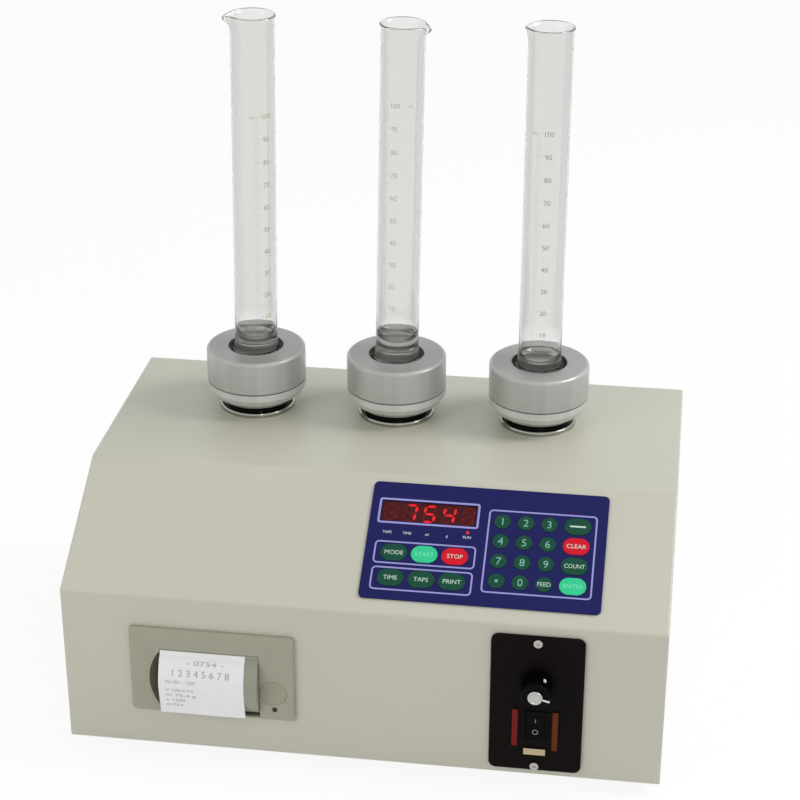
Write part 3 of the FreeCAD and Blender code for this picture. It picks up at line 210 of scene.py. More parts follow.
def enamel(name, tint):
    """Stove enamel with a thin clear coat."""
    made = Finish(name, Coat_Weight=0.12, Coat_Roughness=0.25)
    made.give("Base Color", made.mix(made.noise(9, detail=2.0), shade(tint, 0.93), tint))
    made.give("Roughness", made.noise(60) * 0.1 + 0.38)
    return made.relief(made.noise(900, detail=1.0), ORANGE_PEEL, 0.5)


def moulded(name, tint, rough=0.5, grain=2600, depth=SPARKED, cloud=0.12):
    """Plastic, rubber or paper, clouded by a share of its tint."""
    made = Finish(name)
    made.give("Base Color", made.mix(made.noise(70), shade(tint, 1 - cloud), tint))
    made.give("Roughness", made.noise(180) * 0.14 + (rough - 0.07))
    return made.relief(made.noise(grain, detail=1.0), depth, 0.6)


def ink(name, tint, rough=0.45, cloud=0.05):
    """A printed film of colour."""
    return moulded(name, tint, rough, 1500, PRINTED, cloud)


housing_paint = enamel("cream enamel", colour(200, 199, 186))
bezel_plastic = moulded("printer grey", colour(166, 165, 148), 0.48)
door_plastic = moulded("printer door grey", colour(154, 155, 141), 0.42)
button_plastic = moulded("feed button grey", colour(160, 159, 140), 0.5)
black_plate = moulded("controller black", colour(17, 13, 11), 0.42)
knob_plastic = moulded("knob black", colour(9, 9, 10), 0.3, 1500, SMOOTH)
rocker_plastic = moulded("rocker black", colour(8, 10, 12), 0.26, 1500, SMOOTH)
inlet_plastic = moulded("inlet black", colour(26, 26, 27), 0.5)
foot_rubber = moulded("foot rubber", colour(30, 30, 30), 0.8, 900, 0.00008)
bin_plastic = moulded("controller case black", colour(38, 38, 39), 0.55)
# painted shade: the scoop is the bezel's plastic, given a darker grey for the shade in its hollow
shaded_scoop_plastic = moulded("finger scoop shaded grey", colour(136, 134, 114), 0.5)
recess_plastic = moulded("printer bin grey", colour(112, 112, 98), 0.6)
sensor_plastic = moulded("sensor black", colour(24, 24, 26), 0.4)
pad_rubber = moulded("anvil pad black", colour(12, 12, 13), 0.12, 900, SMOOTH)
print("paint and plastics mixed")

# %% [markdown]
# ## Metals
# A turned aluminium part keeps the fine spiral of the lathe tool.  Rings of noise in the distance
# from the axis give it on a flat face, and rings in height on a side.  The light and shade that
# such grooves throw about the axis in fan shapes are painted into the colour as a painted sheen:
# noise in the direction from the axis.  The top face and the bore are darkened as painted shade.
# Ground steel, milled aluminium, bronze and chrome differ in tint and roughness.

# %% Metals
GROOVE = 0.000004
NO_SHADED_TOP = 9.0  # metres up, above everything here


def turned_metal(name, tint, rough, centre, shaded_top_height=NO_SHADED_TOP, bore=0.0):
    """Metal turned about an upright axis through the centre.  Above a height its colour is darker,
    painted shade on the top face, and within a bore darker still, painted shade in the hole."""
    made = Finish(name, Metallic=0.3)
    across = made.axis("X") - centre[0]
    along = made.axis("Y") - centre[1]
    far = made.root(across * across + along * along)
    path = made.node("CombineXYZ", None, {0: far, 1: made.axis("Z"), 2: 0.0}, "Vector")
    rings = made.node("TexNoise", None, {"Vector": path, "Scale": 3200.0, "Detail": 2.0})
    wide = made.node("TexNoise", None, {"Vector": path, "Scale": 240.0, "Detail": 3.0})
    worn = made.noise(45)
    way = made.node("CombineXYZ", None, {0: across / far, 1: along / far, 2: 0.0}, "Vector")
    # painted light and shade: sectors of sheen about the axis, as noise in the direction from it
    painted_fans = made.node("TexNoise", None, {"Vector": way, "Scale": 2.6, "Detail": 3.0})
    toned = made.mix(wide * 0.2 + worn * 0.2 + (painted_fans - 0.4) * 2.5, shade(tint, 0.84), tint)
    # painted shade: the colour above the top face's height is darker
    outside = made.mix(made.axis("Z") > shaded_top_height, toned, shade(tint, 0.72))
    # painted shade: darker still inside the bore, where little light reaches
    made.give("Base Color", made.mix(far < bore, outside, shade(tint, 0.35)))
    made.give("Roughness", rings * 0.08 + wide * 0.08 + (rough - 0.08))
    return made.relief(rings, GROOVE, 0.5)


def metal(name, tint, rough, stretch=(1, 1, 1), grain=400):
    """Plain metal with scratches, drawn out along an axis where stretch squeezes the others."""
    made = Finish(name, Metallic=1.0)
    scratches = made.noise(grain, stretch)
    made.give("Base Color", made.mix(made.noise(30), shade(tint, 0.86), tint))
    made.give("Roughness", scratches * 0.16 + (rough - 0.08))
    return made.relief(scratches, GROOVE, 0.4)


chrome = metal("bright chrome", colour(170, 170, 162), 0.12, grain=60)
screw_steel = metal("screw nickel", colour(186, 183, 178), 0.2)
shaft_steel = metal("ground steel", colour(178, 178, 176), 0.24, (1, 12, 12))
rod_steel = metal("hardened rod steel", colour(172, 173, 176), 0.18, (12, 12, 1))
tray_steel = metal("galvanised steel", colour(160, 162, 163), 0.42, grain=90)
frame_aluminium = metal("milled aluminium", colour(176, 177, 178), 0.34, (1, 20, 20))
bronze = metal("sintered bronze", colour(168, 128, 76), 0.4)
motor_paint = moulded("motor grey", colour(96, 98, 100), 0.45)
print("metals mixed")

# %% [markdown]
# ## Dressing the solids
# A solid whose shape is right only needs its finish: assigning to its material slot is enough.
# A table of node and finish says it all, and a loop does the three stations.

# %% Finishes by node
FILM_GLOSS = 0.2
BLACK_GLOSS = 0.05
paper_white = moulded("thermal paper", colour(240, 240, 245), 0.6, 1200, SMOOTH, 0.03)
membrane_blue = moulded("membrane blue", colour(17, 19, 86), 0.4, 1800, SMOOTH, 0.06)
board_green = moulded("board green", colour(20, 74, 48), 0.4)
key_dark = moulded("key dark green", colour(12, 74, 56), 0.38, 1500, SMOOTH)
key_bright = moulded("key bright green", colour(56, 206, 150), 0.38, 1500, SMOOTH, 0.06)
key_red = moulded("key red", colour(212, 16, 42), 0.38, 1500, SMOOTH, 0.06)
window_red = Finish("display filter red", Base_Color=colour(90, 2, 8), Roughness=0.2, Alpha=0.3)
for finish in (membrane_blue, key_dark, key_bright, key_red, window_red):
    finish.give("Specular IOR Level", FILM_GLOSS)
for finish in (black_plate, rocker_plastic, knob_plastic, pad_rubber):
    finish.give("Specular IOR Level", BLACK_GLOSS)

KEYS = sorted(name for name in nodes if name.startswith("key_"))
BRIGHT_KEYS = ("key_start", "key_enter")
RED_KEYS = ("key_stop", "key_clear")
finishes = {
    "housing_cover": housing_paint, "rear_panel": housing_paint, "base_tray": tray_steel,
    "rubber_feet": foot_rubber, "guide_flanges": chrome, "anvil_pads": pad_rubber,
    "mechanism_frame": frame_aluminium, "shaft_bearings": bronze, "camshaft": shaft_steel,
    "gear_motor": motor_paint, "tap_sensor": sensor_plastic, "control_overlay": membrane_blue,
    "display_window": window_red, "control_board": board_green, "controller_plate": black_plate,
    "controller_body": bin_plastic, "speed_knob": knob_plastic, "power_rocker": rocker_plastic,
    "printer_bezel": bezel_plastic, "printer_door": door_plastic, "paper_strip": paper_white,
    "print_mechanism": recess_plastic, "paper_roll": paper_white, "feed_button": button_plastic,
    "mains_inlet": inlet_plastic, "panel_screws": screw_steel,
}
for keys, finish in ((KEYS, key_dark), (BRIGHT_KEYS, key_bright), (RED_KEYS, key_red)):
    for name in keys:
        finishes[name] = finish


def middle(node):
    low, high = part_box(node)
    return (low + high) / 2


SIDES = ("left", "middle", "right")
RING_TINT = colour(186, 186, 184)
# painted light: the base gets a paler tint than the ring to lift its downward-facing, shaded sides
LIT_BASE_TINT = colour(214, 214, 213)
# the hole's radius, within which the ring's colour is darkened as painted shade
RING_HOLE = 19.8 * MM
UNDER_FACE = 0.05 * MM
for side in SIDES:
    axis = middle("clamp_ring_" + side)
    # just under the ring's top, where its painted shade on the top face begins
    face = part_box("clamp_ring_" + side)[1].z - UNDER_FACE
    finishes["clamp_ring_" + side] = turned_metal("satin ring " + side, RING_TINT, 0.32, axis,
                                                  face, RING_HOLE)
    finishes["holder_base_" + side] = turned_metal("turned base " + side, LIT_BASE_TINT, 0.34, axis)
    finishes["tappet_rod_" + side] = rod_steel
for name, finish in finishes.items():
    for slot in nodes[name].material_slots:
        slot.material = finish.material
print("dressed", len(finishes), "nodes; still plain:", sorted(set(nodes) - set(finishes)))

# %% [markdown]
# ## Hands for edit mode
# From here on new pieces are modelled.  Each starts as a primitive and is shaped with the same
# tools as by hand: select, extrude, inset, bevel.  These helpers hold a piece, select parts of it
# by a test, and at the end write its place into its mesh, so that every object sits at the origin.

# %% Holding and choosing
HAIR = 0.001 * MM  # closer than any two vertices here
SMOOTH_BELOW = math.radians(35)


def hold(piece):
    """The only selected and active object, as after a click on it."""
    bpy.ops.object.select_all(action="DESELECT")
    piece.select_set(True)
    bpy.context.view_layer.objects.active = piece
    return piece


def choose(piece, kind, test):
    """In edit mode, select the verts or edges whose place passes the test."""
    bpy.ops.mesh.select_mode(type=kind)
    bpy.ops.mesh.select_all(action="DESELECT")
    shape = bmesh.from_edit_mesh(piece.data)
    if kind == "VERT":
        for point in shape.verts:
            point.select_set(test(point.co))
    else:
        for line in shape.edges:
            line.select_set(test((line.verts[0].co + line.verts[1].co) / 2))
    bmesh.update_edit_mesh(piece.data)


def settle(piece, place=None):
    """Write the object's place, and one more if it is given, into its mesh."""
    hold(piece)
    bpy.context.view_layer.update()
    if place is not None:
        piece.matrix_world = place @ piece.matrix_world
    bpy.ops.object.transform_apply(location=True, rotation=True, scale=True)
    return piece


def belong(piece, name, finish, body):
    """Name a finished piece, give it its finish, and fasten it to the body it moves with."""
    piece.name = name
    piece.data.name = name
    piece.data.materials.clear()
    piece.data.materials.append(finish.material)
    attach(piece, body)
    return piece


def joined(pieces):
    """Several meshes made one."""
    hold(pieces[0])
    for piece in pieces[1:]:
        piece.select_set(True)
    if len(pieces) > 1:
        bpy.ops.object.join()
    return bpy.context.object


def apply_modifier(piece, kind, **settings):
    hold(piece)
    made = piece.modifiers.new(kind, kind)
    for name, value in settings.items():
        setattr(made, name, value)
    bpy.ops.object.modifier_apply(modifier=made.name)
    return piece


def smooth(piece):
    """Shade a piece smooth, but for its sharp edges."""
    hold(piece)
    bpy.ops.object.shade_smooth_by_angle(angle=SMOOTH_BELOW)
    return piece


# %% Turning on the lathe
ROUND = 96


def raise_ring(start, end):
    """Extrude the chosen circle from one (radius, height) to another, in millimetres."""
    (radius, height), (wide, high) = start, end
    bpy.ops.mesh.extrude_region_move(TRANSFORM_OT_translate={"value": (0, 0, (high - height) * MM)})
    if wide != radius:
        bpy.ops.transform.resize(value=(wide / radius, wide / radius, 1),
                                 center_override=(0, 0, high * MM))


def turned(outline, sides=ROUND):
    """A solid of revolution about the z axis: a disc at the first (radius, height), in millimetres,
    is extruded and resized to each that follows, and closed in a pole."""
    radius, height = outline[0]
    bpy.ops.mesh.primitive_circle_add(vertices=sides, radius=radius * MM,
                                      location=(0, 0, height * MM), fill_type="NGON")
    bpy.ops.object.mode_set(mode="EDIT")
    for start, end in zip(outline, outline[1:]):
        raise_ring(start, end)
    bpy.ops.mesh.merge(type="CENTER")
    bpy.ops.mesh.select_all(action="SELECT")
    bpy.ops.mesh.normals_make_consistent(inside=False)
    bpy.ops.object.mode_set(mode="OBJECT")
    return settle(bpy.context.object)


print("hands and lathe ready")

# %% [markdown]
# ## Measuring cylinders
# Each is blown from one piece of clear glass: a thick foot, a solid lump above it where the bore
# ends, a thin straight tube, a fire-polished bead round the rim and a lip pressed out for pouring.
# Clear glass shows only where light bends, so the wall needs its true thickness and both surfaces.
# The outline is turned as a closed shape, outside up and inside down, and the lip is then drawn out
# with proportional editing, which moves the rim's neighbours a little less the farther they are.
# The glass's colour carries painted shade: darker along edges seen edge-on, and olive-dark where
# it stands in the ring's hole; the solid lump above is left untinted, painted lighter than the
# tube.
# The tube lets a trace of the light pass unbent, which softens the bands that a round wall shows.

# %% Glass
STEM = 15.0
BORE = 14.0
BOWL = 8
TALL = {"left": 258.4, "middle": 256.4, "right": 257.9}
SOLID = {"left": 24.4, "middle": 28.5, "right": 17.5}
LIP_TURN = {"left": 190, "middle": -15, "right": 176}
LIP = {"left": 4.2, "middle": 4.0, "right": 1.6}
LIP_DROP = 0.42
LIP_NARROW = 0.992  # cosine of half the turn that is drawn out
LIP_BEND = 9
RIM_HIGH = 2.6
LEAN = {"left": 0.95, "middle": 1.0, "right": 0.15}
#           heights above the foot, in millimetres, where the solid lump and the ring's hole end,
#           and with them the lump's painted light and the ring's painted shade
LUMP_END = 42
LUMP_FADE = 8
RING_SHADE_END = 15
RING_SHADE_FADE = 3

clear_glass = Finish("clear glass", Roughness=0.02, IOR=1.47, Transmission_Weight=1.0)
glass_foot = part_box("measuring_cylinder_left")[0].z
height_up = (clear_glass.axis("Z") - glass_foot) / MM
low_part = clear_glass.node("Clamp", None, {"Value": (LUMP_END - height_up) / LUMP_FADE})
# painted shade: olive-dark where the glass stands in the ring's hole; the lump above it is kept
# untinted, painted lighter than the tube
ring_shade = clear_glass.node("Clamp", None, {"Value": (RING_SHADE_END - height_up) / RING_SHADE_FADE})
lump_light_and_ring_shade = clear_glass.mix(ring_shade, (1, 1, 0.995, 1), (0.8, 0.8, 0.73, 1))
body_tone = clear_glass.mix(low_part, (0.835, 0.84, 0.823, 1), lump_light_and_ring_shade)
# painted shade: darker along the edges that are seen edge-on
facing = clear_glass.node("LayerWeight", None, {"Blend": 0.5}, "Facing")
edge_shade_mask = facing * facing * facing * facing
clear_glass.give("Base Color", clear_glass.mix(edge_shade_mask, body_tone, (0.48, 0.49, 0.52, 1)))
clear_glass.give("Alpha", low_part * 0.05 + 0.95)


def glass_outline(solid, tall):
    """The closed profile as (radius, height) points, in millimetres: up the outside from the foot,
    over the bead, down the bore and round its bottom."""
    foot = [(25.5, 0), (26.9, 0.3), (27.5, 1.2), (27.5, 8.7), (26.8, 9.7), (23.5, 11),
            (20.4, 12.2), (18.6, 13.2), (17.4, 14.6), (16.4, 16.8), (15.7, 19.5), (15.2, 23),
            (STEM, 27), (STEM, 45)]
    high = [60, 100, 140, 180, 215] + [tall - drop for drop in (20, 15, 12, 9.5, 7.5, 5.5, 4)]
    tube = [(STEM, level) for level in high]
    bead = [(15.1, tall - 2.5), (15.5, tall - 2), (15.8, tall - 1.5), (15.9, tall - 1),
            (15.6, tall - 0.4), (15.1, tall), (14.6, tall - 0.2), (14.1, tall - 0.9)]
    bore = [(BORE, level) for level in reversed(high)] + [(BORE, solid + BOWL + 2)]
    bowl = [(BORE * math.cos(math.radians(turn)),
             solid + BOWL - BOWL * math.sin(math.radians(turn))) for turn in range(10, 90, 10)]
    return foot + tube + bead + bore + bowl


def stand(side):
    """Where a cylinder stands: foot on the holder, leaning a little in the slack of the ring."""
    axis = middle("clamp_ring_" + side)
    foot = Vector((axis.x, axis.y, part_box("measuring_cylinder_" + side)[0].z))
    return Matrix.Translation(foot) @ Matrix.Rotation(math.radians(LEAN[side]), 4, "Y")


for side in SIDES:
    tall = TALL[side]
    lip = LIP[side] * MM
    glass = turned(glass_outline(SOLID[side], tall))
    turn = math.radians(LIP_TURN[side])
    out = Vector((math.cos(turn), math.sin(turn), 0))
    bpy.ops.object.mode_set(mode="EDIT")
    choose(glass, "VERT", lambda point: point.z > (tall - RIM_HIGH) * MM
           and Vector((point.x, point.y, 0)).normalized().dot(out) > LIP_NARROW)
    bpy.ops.transform.translate(value=out * lip + Vector((0, 0, -LIP_DROP * lip)),
                                use_proportional_edit=True, proportional_edit_falloff="SHARP",
                                proportional_size=LIP_BEND * MM)
    bpy.ops.object.mode_set(mode="OBJECT")
    settle(smooth(glass), stand(side))
    belong(glass, "glass_cylinder_" + side, clear_glass, "glass_" + side)
    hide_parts("measuring_cylinder_" + side)
    print(side, "cylinder", [round(part * 1000, 1) for part in glass.dimensions])

# %% [markdown]
# ## Skirts of the holders
# The conical holder ends in a thin skirt that hangs a little way down round the black anvil pad and
# keeps powder off it.  It is a closed ring of revolution: a loop of edges goes round the profile.

# %% Holder skirts
SKIRT = [(24.5, -1.6), (25.6, -1.7), (26.2, -1.4), (28.4, 0.9), (27, 0.4), (24.5, 0.05)]


def hoop(outline):
    """A closed ring of revolution through (radius, height) points, in millimetres."""
    radius, height = outline[0]
    bpy.ops.mesh.primitive_circle_add(vertices=ROUND, radius=radius * MM,
                                      location=(0, 0, height * MM))
    bpy.ops.object.mode_set(mode="EDIT")
    for start, end in zip(outline, outline[1:] + outline[:1]):
        raise_ring(start, end)
    bpy.ops.mesh.select_all(action="SELECT")
    bpy.ops.mesh.remove_doubles(threshold=0.01 * MM)
    bpy.ops.mesh.normals_make_consistent(inside=False)
    bpy.ops.object.mode_set(mode="OBJECT")
    return settle(smooth(bpy.context.object))


for side in SIDES:
    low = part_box("holder_base_" + side)[0]
    axis = middle("holder_base_" + side)
    skirt = settle(hoop(SKIRT), Matrix.Translation((axis.x, axis.y, low.z)))
    belong(skirt, "holder_skirt_" + side, finishes["holder_base_" + side], "platform_" + side)
print("skirts hang", -min(height for radius, height in SKIRT), "mm below the holders")

# %% [markdown]
# ## Lettering
# Figures and words are printed, so they are thin: a text is set, made a mesh, and only then laid in
# its place, flat on the panel or bent round a tube.  One helper sets it at a height in millimetres.

# %% Setting figures
CAPITAL = 0.7  # the height of a capital as a share of the type's size


def lettering(words, tall, thick=0.04):
    """A flat mesh of the words about the origin, capitals as tall as asked, in millimetres."""
    bpy.ops.object.text_add()
    text = bpy.context.object
    text.data.body = words
    text.data.size = tall / CAPITAL * MM
    text.data.align_x = "CENTER"
    text.data.resolution_u = 3
    text.data.extrude = thick / 2 * MM
    text.location = (0, -tall / 2 * MM, thick / 2 * MM)
    hold(text)
    bpy.ops.object.convert(target="MESH")
    return settle(bpy.context.object)


def bar(wide, tall, at, cuts=0, thick=0.04):
    """A flat printed stroke, its middle at a place, in millimetres, cut across so it can bend."""
    bpy.ops.mesh.primitive_plane_add(size=1, location=(at[0] * MM, at[1] * MM, 0))
    piece = bpy.context.object
    piece.scale = (wide * MM, tall * MM, 1)
    settle(piece)
    if cuts:
        bpy.ops.object.mode_set(mode="EDIT")
        choose(piece, "EDGE", lambda place: abs(place.x - at[0] * MM) < HAIR)
        bpy.ops.mesh.subdivide(number_cuts=cuts)
        bpy.ops.object.mode_set(mode="OBJECT")
    return apply_modifier(piece, "SOLIDIFY", thickness=thick * MM, offset=1)


def disc(radius, at, thick, sides):
    """A flat round piece, its middle at a place, in millimetres."""
    bpy.ops.mesh.primitive_circle_add(vertices=sides, radius=radius * MM, fill_type="NGON",
                                      location=(at[0] * MM, at[1] * MM, 0))
    return apply_modifier(settle(bpy.context.object), "SOLIDIFY", thickness=thick * MM, offset=1)


def shift(piece, across, upward):
    return settle(piece, Matrix.Translation((across * MM, upward * MM, 0)))


print("letters, bars and discs ready")

# %% Graduations of the cylinders
def enamel_ink(name, pale, deep):
    made = Finish(name, Roughness=0.5)
    return made.give("Base Color", made.mix(made.noise(500), colour(*pale), colour(*deep)))


figure_ink = {"left": enamel_ink("amber enamel", (208, 188, 146), (186, 158, 104)),
              "middle": enamel_ink("pale enamel", (202, 198, 186), (184, 178, 160)),
              "right": enamel_ink("brown enamel", (178, 172, 152), (150, 140, 116))}
faded = enamel_ink("faded enamel", (206, 205, 199), (190, 187, 176))
SCALE_TURN = {"left": -44, "middle": -100, "right": -82}
TOP_MARK = {"left": 191.3, "middle": 203.8, "right": 189.2}
STEP = {"left": 16.24, "middle": 16.24, "right": 16.09}
FIGURE_HIGH = 3.5
STROKE_HIGH = 0.13
NOTE_HIGH = 2.6
NOTE_ACROSS = {"left": -10.4, "middle": 10.4, "right": -10.4}
INK_LIFT = 0.03


def wrap(piece, turn):
    """Bend a flat mesh round the tube: across becomes a turn about its axis, lift a radius."""
    for point in piece.data.vertices:
        angle = math.radians(turn) + point.co.x / (STEM * MM)
        far = STEM * MM + INK_LIFT * MM + point.co.z
        point.co = (far * math.cos(angle), far * math.sin(angle), point.co.y)
    return piece


def ladder(wide, across, first, gap, count):
    """Evenly spaced strokes: one is drawn and an array repeats it up the tube."""
    piece = bar(wide, STROKE_HIGH, (across, first), 3)
    return apply_modifier(piece, "ARRAY", count=count, use_relative_offset=False,
                          use_constant_offset=True, constant_offset_displace=(0, gap * MM, 0))


def on_tube(piece, side):
    """Bend a flat mesh round its tube and stand it there."""
    return settle(wrap(piece, SCALE_TURN[side]), stand(side))


for side in SIDES:
    step = STEP[side]
    lowest = TOP_MARK[side] - 9 * step
    figures = [shift(lettering(str(100 - 10 * mark), FIGURE_HIGH), 0, TOP_MARK[side] - step * mark)
               for mark in range(10)]
    marks = [ladder(3.4, -7, lowest - step / 2, step / 10, 96),
             ladder(5.2, -6.6, lowest, step / 2, 19), ladder(7, -6.2, lowest, step, 10)]
    piece = on_tube(joined(figures), side)
    belong(piece, "scale_figures_" + side, figure_ink[side], "glass_" + side)
    piece = on_tube(joined(marks), side)
    belong(piece, "scale_marks_" + side, faded, "glass_" + side)
    note = shift(lettering("ml", NOTE_HIGH), NOTE_ACROSS[side], TOP_MARK[side])
    belong(on_tube(note, side), "scale_note_" + side, faded, "glass_" + side)
print("graduations from 10 to 100 on three tubes")

# %% [markdown]
# ## Printing on the membrane
# The membrane is one printed film: a dark blue ground with pale violet frames round each group of
# keys and round the display.  A frame is drawn as a plane whose corners are bevelled; an inset
# leaves the line, the inside is deleted, and a solidify modifier gives the ink its thickness.

# %% Panel frame and printed frames
PANEL_TILT = math.radians(30)
OVERLAY_THICK = 1.2
INK_THICK = 0.06
panel_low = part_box("control_overlay")[0]
panel_corner = Vector((panel_low.x, panel_low.y,
                       panel_low.z + OVERLAY_THICK * MM * math.cos(PANEL_TILT)))
PANEL = Matrix.Translation(panel_corner) @ Matrix.Rotation(PANEL_TILT, 4, "X")
violet_ink = ink("pale violet ink", colour(155, 155, 218), 0.4, 0.06)
white_ink = ink("white ink", colour(226, 230, 236))


def on_panel(piece, lift=0.0):
    """Lay a flat piece on the panel, lifted off it by so many millimetres."""
    return settle(piece, PANEL @ Matrix.Translation((0, 0, lift * MM)))


def printed_frame(left, low, right_end, high, line=1.1, corner=3.0):
    """A line round a field with these four edges, in millimetres, its corners rounded."""
    bpy.ops.mesh.primitive_plane_add(size=1)
    piece = bpy.context.object
    piece.scale = ((right_end - left) * MM, (high - low) * MM, 1)
    piece.location = ((left + right_end) / 2 * MM, (low + high) / 2 * MM, 0)
    settle(piece)
    bpy.ops.object.mode_set(mode="EDIT")
    bpy.ops.mesh.select_all(action="SELECT")
    bpy.ops.mesh.bevel(offset=corner * MM, segments=6, affect="VERTICES")
    bpy.ops.mesh.select_all(action="SELECT")
    bpy.ops.mesh.inset(thickness=line * MM)
    bpy.ops.mesh.delete(type="FACE")
    bpy.ops.object.mode_set(mode="OBJECT")
    return apply_modifier(piece, "SOLIDIFY", thickness=INK_THICK * MM, offset=1)


frames = [printed_frame(5.3, 57, 72.9, 76.5, line=1.4, corner=2),
          printed_frame(6.1, 26.3, 73.4, 43.5), printed_frame(6.3, 6.5, 73.2, 24),
          printed_frame(79, 10, 151, 73)]
belong(on_panel(joined(frames)), "panel_frames", violet_ink, "housing")
print("four printed frames")

# %% [markdown]
# ## Display
# Behind the red filter sits a block of five figures of seven segments.  Segments are little
# elongated hexagons: a six-sided disc is stretched by moving its halves apart, copied to the seven
# places, and leaned over by eight degrees.  Lit ones glow; unlit ones show as a dull red.

# %% Display window and figures
segment_lit = Finish("lit segment", Base_Color=colour(220, 30, 38), Roughness=0.4,
                     Emission_Color=colour(236, 28, 38), Emission_Strength=1.6)
segment_dark = Finish("unlit segment", Roughness=0.4)
segment_dark.give("Base Color", segment_dark.mix(segment_dark.noise(300), colour(150, 24, 26),
                                                 colour(112, 16, 18)))
face_red = ink("digit face dark red", colour(58, 5, 9), 0.5, 0.12)
lamp_red = Finish("small lamp", Base_Color=colour(190, 30, 44), Emission_Color=colour(220, 30, 46),
                  Emission_Strength=0.4)
WINDOW_LEFT = 7.3
WINDOW_LOW = 59
WINDOW_WIDE = 63.6
WINDOW_TALL = 15.5
FIGURE_TALL = 12.0
FIGURE_WIDE = 7
FIGURE_LEAN = math.radians(8)
SEGMENT = 1.75
SEGMENT_SPLIT = 1.7
#      a name: (middle across, middle up, upright) in halves of the figure's size
SEGMENT_PLACES = {"a": (0, 1, 0), "b": (1, 0.5, 1), "c": (1, -0.5, 1), "d": (0, -1, 0),
                  "e": (-1, -0.5, 1), "f": (-1, 0.5, 1), "g": (0, 0, 0)}
SHOWN = {"7": "abc", "5": "afgcd", "4": "fgbc", " ": ""}


def segment(upright):
    """One bar of a figure, lying or standing, with pointed ends."""
    long = (FIGURE_TALL / 2 if upright else FIGURE_WIDE) - SEGMENT_SPLIT
    bpy.ops.mesh.primitive_circle_add(vertices=6, fill_type="NGON",
                                      radius=SEGMENT / 2 / math.cos(math.radians(30)) * MM)
    piece = bpy.context.object
    bpy.ops.object.mode_set(mode="EDIT")
    for way in (-1, 1):
        choose(piece, "VERT", lambda point: point.x * way > HAIR)
        bpy.ops.transform.translate(value=(way * (long - SEGMENT) / 2 * MM, 0, 0))
    bpy.ops.object.mode_set(mode="OBJECT")
    return piece


def seven(lit, at):
    """The lit and the unlit bars of one figure, as two lists of flat meshes."""
    lean = Matrix(((1, math.tan(FIGURE_LEAN), 0, at[0] * MM), (0, 1, 0, at[1] * MM),
                   (0, 0, 1, 0), (0, 0, 0, 1)))
    groups = ([], [])
    for name, (across, upward, upright) in SEGMENT_PLACES.items():
        piece = segment(upright)
        piece.rotation_euler.z = math.radians(90) if upright else 0
        piece.location = (across * FIGURE_WIDE / 2 * MM, upward * FIGURE_TALL / 2 * MM, 0)
        settle(piece)
        apply_modifier(piece, "SOLIDIFY", thickness=INK_THICK * MM, offset=1)
        piece.data.transform(lean)
        groups[0 if name in lit else 1].append(piece)
    return groups


print("a figure is", FIGURE_TALL, "mm tall")

# %% Lighting up 754
#      in millimetres on the panel, with depths below its face
FIRST_FIGURE = 13.6
FIGURE_GAP = 12.95
FIGURE_LINE = 66.5
FACE_DEEP = 1.18
FIGURES_DEEP = 1.07
FILTER_DEEP = 0.8
MARKS = ("TAPS", "TIME", "ml", "g", "RUN")
FIRST_MARK = 13
MARK_GAP = 13.3
MARK_LINE = 50.2


def window_sheet(margin, thick):
    """A flat sheet, smaller than the window by the margin, in millimetres."""
    return bar(WINDOW_WIDE - margin, WINDOW_TALL - margin,
               (WINDOW_LEFT + WINDOW_WIDE / 2, WINDOW_LOW + WINDOW_TALL / 2), thick=thick)


lit_bars = []
dark_bars = []
for place, figure in enumerate(" 754 "):
    lit, dark = seven(SHOWN[figure], (FIRST_FIGURE + FIGURE_GAP * place, FIGURE_LINE))
    lit_bars += lit
    dark_bars += dark
belong(on_panel(window_sheet(0.6, 0.1), -FACE_DEEP), "digit_face", face_red,
       "housing")
for name, bars, finish in (("lit_segments", lit_bars, segment_lit),
                           ("unlit_segments", dark_bars, segment_dark)):
    belong(on_panel(joined(bars), -FIGURES_DEEP), name, finish, "housing")
pane = apply_modifier(window_sheet(0.1, 0.6), "BEVEL", width=0.2 * MM, segments=2)
belong(on_panel(pane, -FILTER_DEEP), "display_filter", window_red, "housing")
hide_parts("display_window")
marks = [shift(lettering(word, 1.9), FIRST_MARK + MARK_GAP * place, MARK_LINE)
         for place, word in enumerate(MARKS)]
belong(on_panel(joined(marks)), "display_marks", white_ink, "housing")
dot = on_panel(disc(1.1, (66.3, 53.6), 0.4, 24))
belong(dot, "display_lamp", lamp_red, "housing")
print("display lit:", len(lit_bars), "bars")

# %% [markdown]
# ## Key figures
# The keys stand a little proud of the membrane, each printed with a figure or a short word.  A
# legend rides on its own key, so it goes down with it.

# %% Legends on the keys
LEGENDS = {"mode": "MODE", "start": "START", "stop": "STOP", "time": "TIME", "taps": "TAPS",
           "print": "PRINT", "minus": "-", "point": ".", "clear": "CLEAR", "count": "COUNT",
           "paper": "FEED", "enter": "ENTER"}
FIGURE_SIZE = 5.4
WORD_SIZE = 3.1
WORD_ROOM = 13.5
FEED_ROOM = 8.4
LEGEND_LIFT = 0.525
KEY_NORMAL = Vector((0, -math.sin(PANEL_TILT), math.cos(PANEL_TILT)))
pale_green_ink = ink("pale legend ink", colour(196, 226, 208))
soft_green_ink = ink("soft figure ink", colour(126, 186, 164))
bright_key_ink = ink("start legend ink", colour(120, 232, 190))


def legend(figure, room):
    """A dash, a point, or letters squeezed into the room across, in millimetres."""
    if figure == "-":
        return bar(10.5, 1.2, (0, 0))
    if figure == ".":
        return bar(1.9, 1.9, (0, 0))
    piece = lettering(figure, FIGURE_SIZE if len(figure) == 1 else WORD_SIZE)
    squeeze = min(1, room * MM / piece.dimensions.x)
    return settle(piece, Matrix.Diagonal((squeeze, 1, 1, 1)))


